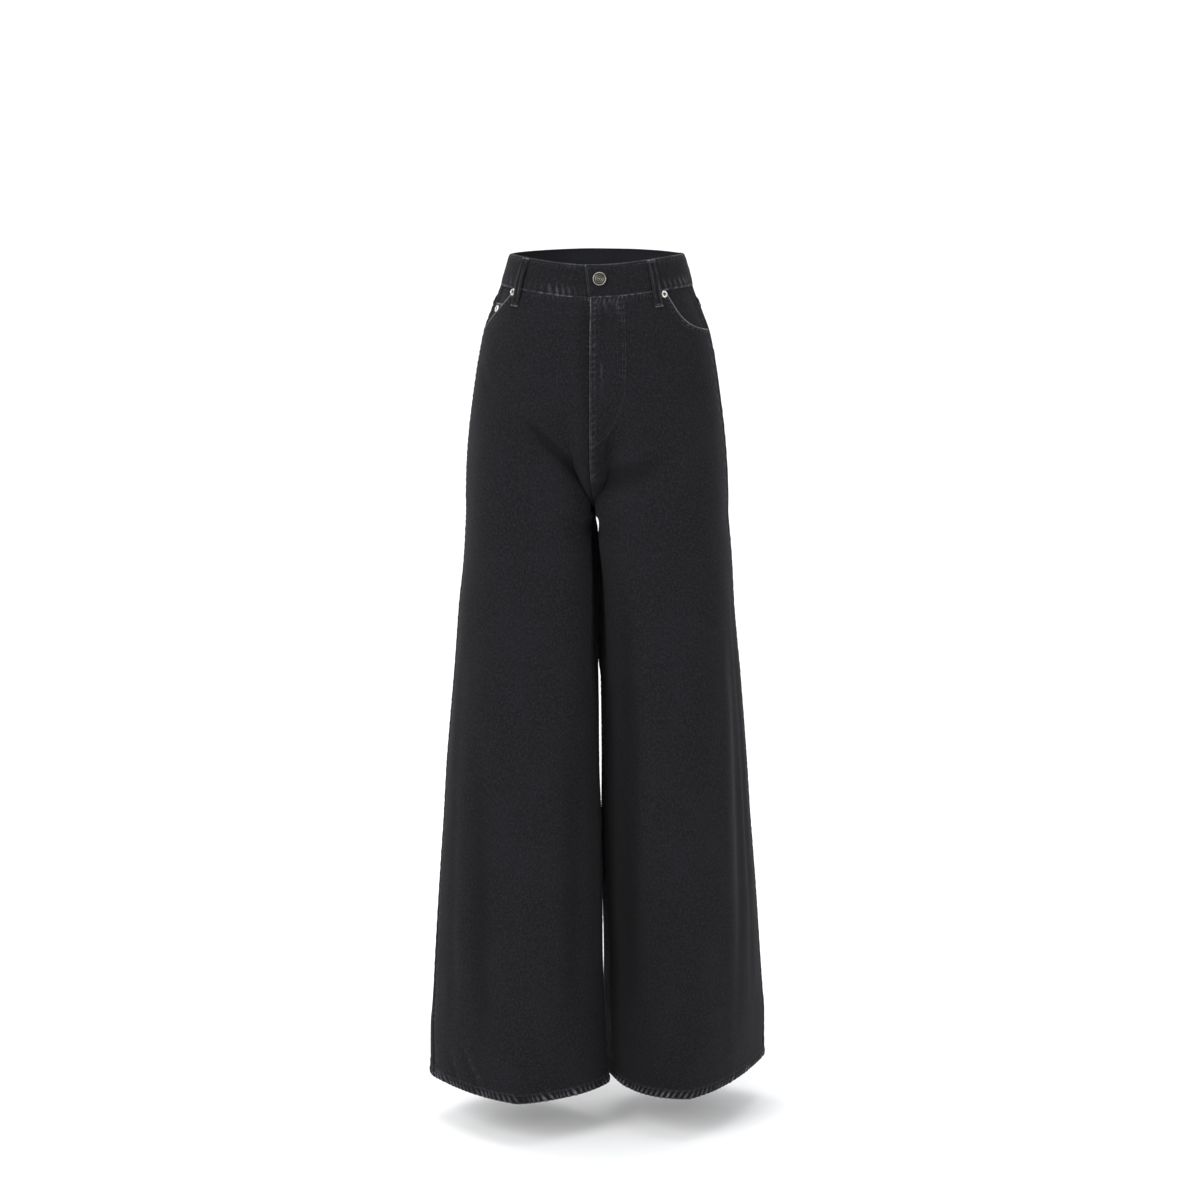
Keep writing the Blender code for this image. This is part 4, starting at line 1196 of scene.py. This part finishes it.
def patchShares(side):
    # Shares across the back at even distances along the cloth from the pocket's middle, level by level.
    shares = np.linspace(1, 2, 181)
    rows = []
    for level in patchLevels:
        points = onCloth(side, shares, level, 0.0)
        run = np.concatenate([[0], np.cumsum(np.linalg.norm(np.diff(points, axis=0), axis=1))])
        rows.append(np.interp(np.interp(backPocket["middle"], shares, run) + patchAways, run, shares))
    return np.array(rows)[..., None]


patchTables = {side: patchShares(side) for side in (1, -1)}


def patchPlace(side, share, down):
    high = backPocket["high"] + backPocket["point"] * (1 - 2 * np.abs(share))
    level = backPocket["top"] - down * high
    away = share * backPocket["wide"] * (1 - backPocket["taper"] * down)
    row = np.interp(-level, -patchLevels, np.arange(len(patchLevels)))
    place = np.interp(away, patchAways, np.arange(len(patchAways)))
    return read(patchTables[side], row, place)[..., 0], level


def patchMarks(side, share, down):
    width = backPocket["wide"] * (1 - backPocket["taper"] * down)
    fromTop = down * backPocket["high"]
    fromLong = (0.5 - np.abs(share)) * width
    fromFoot = (1 - down) * backPocket["high"]
    fromEdge = np.minimum(fromLong, fromFoot)
    run = np.where(fromLong < fromFoot, fromTop, share * width)
    height, wear, _ = seamMarks("backPocket", run, fromEdge, backPocket["seeds"][side])
    height += 0.0006 * (1 - smooth((fromTop - backPocket["turning"]) / 0.0015))
    height += 0.0008 * noise(share * 2.4, down * 2.2, 93) * smooth(fromEdge / 0.02)
    wear += 0.75 * bell(fromTop, 0.0014) + 0.25 * bell(fromTop - backPocket["turning"], 0.0012)
    return height, wear


def patchFace(side, share, down, out=0.0):
    across, level = patchPlace(side, share, down)
    height, _ = patchMarks(side, share, down)
    under, _, _ = panelRelief(side, across, level)
    return onCloth(side, across, level, backPocket["seat"] + cloth + height + under * 0.9 + out)


for side, word in ((1, "Left"), (-1, "Right")):
    share, down = np.meshgrid(np.linspace(-0.5, 0.5, 73), np.linspace(0, 1, 77))
    _, wear = patchMarks(side, share, down)
    marks = {"wear": wear, "shade": 0 * wear}
    node = "back_pocket_" + word.lower()
    grid = (side, share, down)
    sewnPiece("backPocket" + word, node, patchFace, grid, marks, backPocket["flat"], backPocket["area"])
print("back pockets ready")

# Thread: how thick it is, how long a stitch, and where the rows lie beside a seam.
stitch = {"radius": 0.00024, "pitch": 0.0033, "bandPitch": 0.0032, "share": 0.80, "ring": 5, "sides": 5}
rowsBeside = (0.0020, 0.0075)


def stitchRows(name, rows, radius=stitch["radius"]):
    # Lengths of thread that rise out of the cloth and sink into it again.
    allPoints, allFaces, offset = [], [], 0
    ring, sides = stitch["ring"], stitch["sides"]
    share = np.linspace(0, 1, ring)
    turn = np.linspace(0, 2 * math.pi, sides, endpoint=False)
    for row in rows:
        u, v = pathPoints(row["path"], 0.0005)
        points = row["face"](u, v, 0.0)
        normals = unit(row["face"](u, v, 0.001) - points)
        run = np.concatenate([[0], np.cumsum(np.linalg.norm(np.diff(points, axis=0), axis=1))])
        pitch = row.get("pitch", stitch["pitch"])
        length = pitch * stitch["share"]
        starts = np.arange(pitch * 0.2, run[-1] - length, pitch)
        if len(starts) == 0:
            continue
        wanted = starts[:, None] + length * share[None, :]
        at = np.stack([np.interp(wanted, run, points[:, k]) for k in range(3)], axis=-1)
        up = unit(np.stack([np.interp(wanted, run, normals[:, k]) for k in range(3)], axis=-1))
        lift = radius * (np.sin(math.pi * share) * 1.5 - 0.7)
        at = at + up * lift[None, :, None]
        beside = unit(np.cross(unit(np.gradient(at, axis=1)), up))
        thick = (radius * (0.75 + 0.25 * np.sin(math.pi * share)))[None, :, None, None]
        over = beside[:, :, None, :] * (np.cos(turn)[None, None, :, None] * thick)
        out = up[:, :, None, :] * (np.sin(turn)[None, None, :, None] * thick)
        rings = at[:, :, None, :] + over + out
        index = offset + np.arange(len(starts) * ring * sides).reshape(len(starts), ring, sides)
        after = np.roll(index, -1, axis=2)
        faces = np.stack([index[:, :-1], after[:, :-1], after[:, 1:], index[:, 1:]], axis=-1)
        allPoints.append(rings.reshape(-1, 3))
        allFaces.append(faces.reshape(-1, 4))
        offset += index.size
    data = bpy.data.meshes.new(name)
    data.from_pydata(np.concatenate(allPoints).tolist(), [], np.concatenate(allFaces).tolist())
    data.shade_smooth()
    data.materials.append(thread)
    return finishPiece(addPiece(name, data), [])


def panelRow(side, path, **more):
    return {"face": lambda u, v, out: panelFace(side, u, v, out), "path": path, **more}


def offsetPath(side, rows, away):
    # A row beside a pocket opening, this far inside the panel.
    wide = girth(side, np.array([rows[0][1]]), 0)[0]
    rows = np.array(rows, float)
    flat = np.stack([rows[:, 0] * wide, rows[:, 1]], axis=1)
    along = unit(np.gradient(flat, axis=0))
    beside = np.stack([along[:, 1], -along[:, 0]], axis=1)
    moved = flat + beside * away
    keep = (moved[:, 1] < bandSeam) & (moved[:, 0] / wide < 1)
    return [(x / wide, z) for x, z in moved[keep]]


bandPaths = (
    [(p, -0.0030) for p in np.linspace(-0.036, 3.98, 200)],
    [(p, bandSeam + 0.0018) for p in np.linspace(0.004, 3.98, 200)],
    [(-0.034, -0.0035), (0.004, bandSeam + 0.002)],
)
bandRows = [{"face": bandFace, "path": path, "pitch": stitch["bandPitch"]} for path in bandPaths]
stitchRows("threadWaistband", bandRows)

secondRow = [(a + 0.018, l) if l > -0.19 else (a + 0.006, l - 0.0045) for a, l in flySewing[:-1]]
flyPaths = [flySewing[:-1], secondRow]
flyPaths += [[(0.012, -0.0400), (0.012, -0.2800)], [(0.036, -0.0400), (0.036, -0.2250)]]
stitchRows("threadFly", [panelRow(1, path) for path in flyPaths])

pocketRows = []
for side in (1, -1):
    pocketRows += [panelRow(side, offsetPath(side, openings[side], away)) for away in (0.0020, 0.0078)]
    pocketRows.append(panelRow(side, [(0.988, -0.0975), (0.988, -0.1600)]))
for below in rowsBeside:
    path = [(0.64, coin["top"] - below), (0.98, coin["top"] - below)]
    pocketRows.append({"face": coinFace, "path": path, "pitch": 0.0030})
stitchRows("threadPockets", pocketRows)

for side, word in ((1, "Left"), (-1, "Right")):
    hemPath = [(a, hem + 0.0102) for a in np.linspace(0.002, 1.998, 300)]
    stitchRows("threadHem" + word, [panelRow(side, hemPath, pitch=0.0034)])
    paths = [[(a, yokeSeam(a) + away) for a in np.linspace(1.01, 1.99, 40)] for away in rowsBeside]
    if side > 0:
        levels = np.linspace(-0.040, -0.322, 80)
        paths += [[(2 - away / girth(1, l, 1), l) for l in levels] for away in rowsBeside]
    levels = np.linspace(-0.335, hem + 0.010, 160)
    paths += [[(away / girth(side, l, 0), l) for l in levels] for away in rowsBeside]
    stitchRows("threadSeams" + word, [panelRow(side, path) for path in paths])
    paths = []
    for edge in (0.0018, 0.0075):
        inU, foot = 0.5 - edge / backPocket["wide"], 1 - edge / backPocket["high"]
        paths.append([(-inU, 0.01), (-inU, foot), (0, foot), (inU, foot), (inU, 0.01)])
    paths.append([(-0.49, 0.085), (0.49, 0.085)])
    face = lambda u, v, out, side=side: patchFace(side, u, v, out)
    stitchRows("threadBackPocket" + word, [{"face": face, "path": path} for path in paths])
print("stitches ready")

# Bartacks: a dense zigzag of thread, with its half length, number of turns and half height.
tack = {"pitch": 0.0026, "radius": 0.00020, "loop": (0.42, 22, 0.020), "pocket": (0.014, 14, 0.0009)}


def zigzag(place, half, turns, tall):
    points = []
    for k in range(turns + 1):
        away = half * (-1 + 2 * k / turns)
        points.append((place[0] + away, place[1] + (tall if k % 2 else -tall)))
    return points


tacks = []
for loop in loops:
    face = lambda u, v, out, loop=loop: loopFace(loop, u, v, out)
    for down in (0.955, 0.045):
        tacks.append({"face": face, "path": zigzag((0.0, down), *tack["loop"]), "pitch": tack["pitch"]})
for side in (1, -1):
    tacks.append(panelRow(side, zigzag((0.975, -0.0985), *tack["pocket"]), pitch=tack["pitch"]))
stitchRows("threadBartacks", tacks, radius=tack["radius"])


def turnedPiece(name, node, profile, finishes, place, steps):
    # A metal trim turned from its profile: radius, height, finish and how deep in a recess.
    points, faces, recess, finishOf = [], [], [], []
    for k in range(steps):
        angle = 2 * math.pi * k / steps
        for radius, height, _, depth in profile:
            points.append((radius * math.cos(angle), radius * math.sin(angle), height))
            recess.append(depth)
    size = len(profile)
    for k in range(steps):
        other = (k + 1) % steps
        for j in range(size - 1):
            faces.append((k * size + j, k * size + j + 1, other * size + j + 1, other * size + j))
            finishOf.append(profile[j][2])
    data = bpy.data.meshes.new(name)
    data.from_pydata(points, [], faces)
    data.shade_smooth()
    for finish in finishes:
        data.materials.append(finish)
    data.polygons.foreach_set("material_index", np.array(finishOf, np.int32))
    attribute = data.attributes.new("recess", "FLOAT", "POINT")
    attribute.data.foreach_set("value", np.array(recess, np.float32))
    piece = addPiece(name, data)
    side, across, level, out = place
    at = onCloth(side, np.array([across]), np.array([level]), np.array([out]))[0]
    above = onCloth(side, np.array([across]), np.array([level]), np.array([out + 0.001]))[0]
    turn = Vector(above - at).to_track_quat("Z", "Y").to_matrix().to_4x4()
    piece.matrix_world = Matrix.Translation(Vector(at)) @ turn
    return finishPiece(piece, [node])


# Tack button with plain rings: a domed rim, a groove, two fine rings and a small boss.
buttonProfile = [
    (0.0, 0.0034, 0, 0.2), (0.0006, 0.0034, 0, 0.2), (0.0012, 0.0030, 0, 0.6), (0.0016, 0.0026, 0, 1.0),
    (0.0022, 0.0025, 0, 0.9), (0.0026, 0.0029, 0, 0.5), (0.0030, 0.0030, 0, 0.4), (0.0034, 0.0027, 0, 0.8),
    (0.0038, 0.0024, 0, 1.0), (0.0044, 0.0024, 0, 0.9), (0.0048, 0.0028, 0, 0.5), (0.0052, 0.0028, 0, 0.5),
    (0.0056, 0.0025, 0, 0.9), (0.0062, 0.0025, 0, 1.0), (0.0067, 0.0028, 0, 0.9), (0.0072, 0.0034, 0, 0.3),
    (0.0077, 0.0034, 0, 0.0), (0.0082, 0.0030, 0, 0.0), (0.0086, 0.0021, 0, 0.1), (0.0085, 0.0014, 0, 0.5),
    (0.0080, 0.0010, 0, 0.9), (0.0042, 0.0009, 0, 1.0), (0.0040, 0.0000, 0, 1.0),
]
buttonPlace = (1, 0.075, -0.0165, bandOuter + 0.0004)
turnedPiece("tackButton", "button", buttonProfile, [antiqueNickel], buttonPlace, 72)

# Rivets: a bright cap round a tarnished burr.
rivetProfile = [
    (0.0, 0.0011, 1, 0.2), (0.0006, 0.0011, 1, 0.2), (0.0010, 0.0008, 1, 0.5), (0.0015, 0.0006, 1, 0.9),
    (0.0019, 0.0008, 0, 0.8), (0.0023, 0.0014, 0, 0.2), (0.0029, 0.0017, 0, 0.0), (0.0036, 0.0015, 0, 0.0),
    (0.0042, 0.0010, 0, 0.1), (0.0046, 0.0004, 0, 0.4), (0.0046, 0.0000, 0, 0.9),
]
rivets = (
    ("rivetPocketLeft", "rivet_pocket_left", (1, 0.600, -0.0435, 0.0004)),
    ("rivetPocketRight", "rivet_pocket_right", (-1, 0.700, -0.0435, 0.0004)),
    ("rivetCoinPocket", "rivet_coin_pocket", (-1, 0.862, -0.0668, underPanel[1] + 0.0004)),
)
for name, node, place in rivets:
    turnedPiece(name, node, rivetProfile, [brightNickel, bareBrass], place, 48)
print("metal trims ready")

# Studio: a pale sweep, a broad soft key from the front left, a fill, a light from above and one from behind.
sweepForm = {"half": 7.0, "near": -6.0, "bend": 2.2, "radius": 1.6, "top": 6.0, "underHem": 0.060}
bend, radius = sweepForm["bend"], sweepForm["radius"]
profile = [(sweepForm["near"], 0.0), (bend, 0.0)]
for angle in np.linspace(0.1, math.pi / 2, 14):
    profile.append((bend + radius * math.sin(angle), radius - radius * math.cos(angle)))
profile.append((bend + radius, sweepForm["top"]))
floorLevel = hem - sweepForm["underHem"]
points = [(x, y, floorLevel + z) for x in (-sweepForm["half"], sweepForm["half"]) for y, z in profile]
size = len(profile)
sweep = bpy.data.meshes.new("studioSweep")
sweep.from_pydata(points, [], [(k, k + 1, size + k + 1, size + k) for k in range(size - 1)])
sweep.shade_smooth()
paper, addPaper = newMaterial("matPaperSweep")  # An even white that takes a soft shadow.
addPaper(None, {}, {"Base Color": linear("#fafafa"), "Roughness": 0.9})
sweep.materials.append(paper)
addPiece("studioSweep", sweep)

world = bpy.data.worlds.new("studioAir")
world.use_nodes = True
air = world.node_tree.nodes["Background"]
air.inputs["Color"].default_value = linear("#f4f5f7")
air.inputs["Strength"].default_value = 0.80
bpy.context.scene.world = world


def aimed(name, data, place, aim):
    holder = addPiece(name, data)
    holder.location = place
    holder.rotation_mode = "QUATERNION"
    holder.rotation_quaternion = (Vector(aim) - Vector(place)).to_track_quat("-Z", "Y")
    return holder


# Area lights: place, what they aim at, size and power.
lights = {
    "key": ((-1.9, -2.2, 1.3), (0, 0, -0.5), (1.6, 2.2), 70),
    "fill": ((2.4, -2.0, 0.5), (0, 0, -0.6), (1.6, 2.2), 30),
    "top": ((0.0, 0.4, 2.2), (0, 0, -0.5), (2.4, 2.4), 45),
    "rear": ((-2.7, 2.1, 1.3), (0, 0, -0.6), (1.4, 2.0), 22),
}
for name, (place, aim, size, power) in lights.items():
    lamp = bpy.data.lights.new(name, "AREA")
    lamp.shape = "RECTANGLE"
    lamp.size, lamp.size_y = size
    lamp.energy = power
    aimed(name, lamp, place, aim)

view = {"lens": 71.38, "sensor": 36, "place": (0.2698, -3.0380, 0.0700), "aim": (0.0040, 0.0003, -0.4452)}
camera = bpy.data.cameras.new("camera")
camera.lens = view["lens"]
camera.sensor_width = view["sensor"]
bpy.context.scene.camera = aimed("camera", camera, view["place"], view["aim"])
bpy.context.scene.view_settings.view_transform = "Standard"
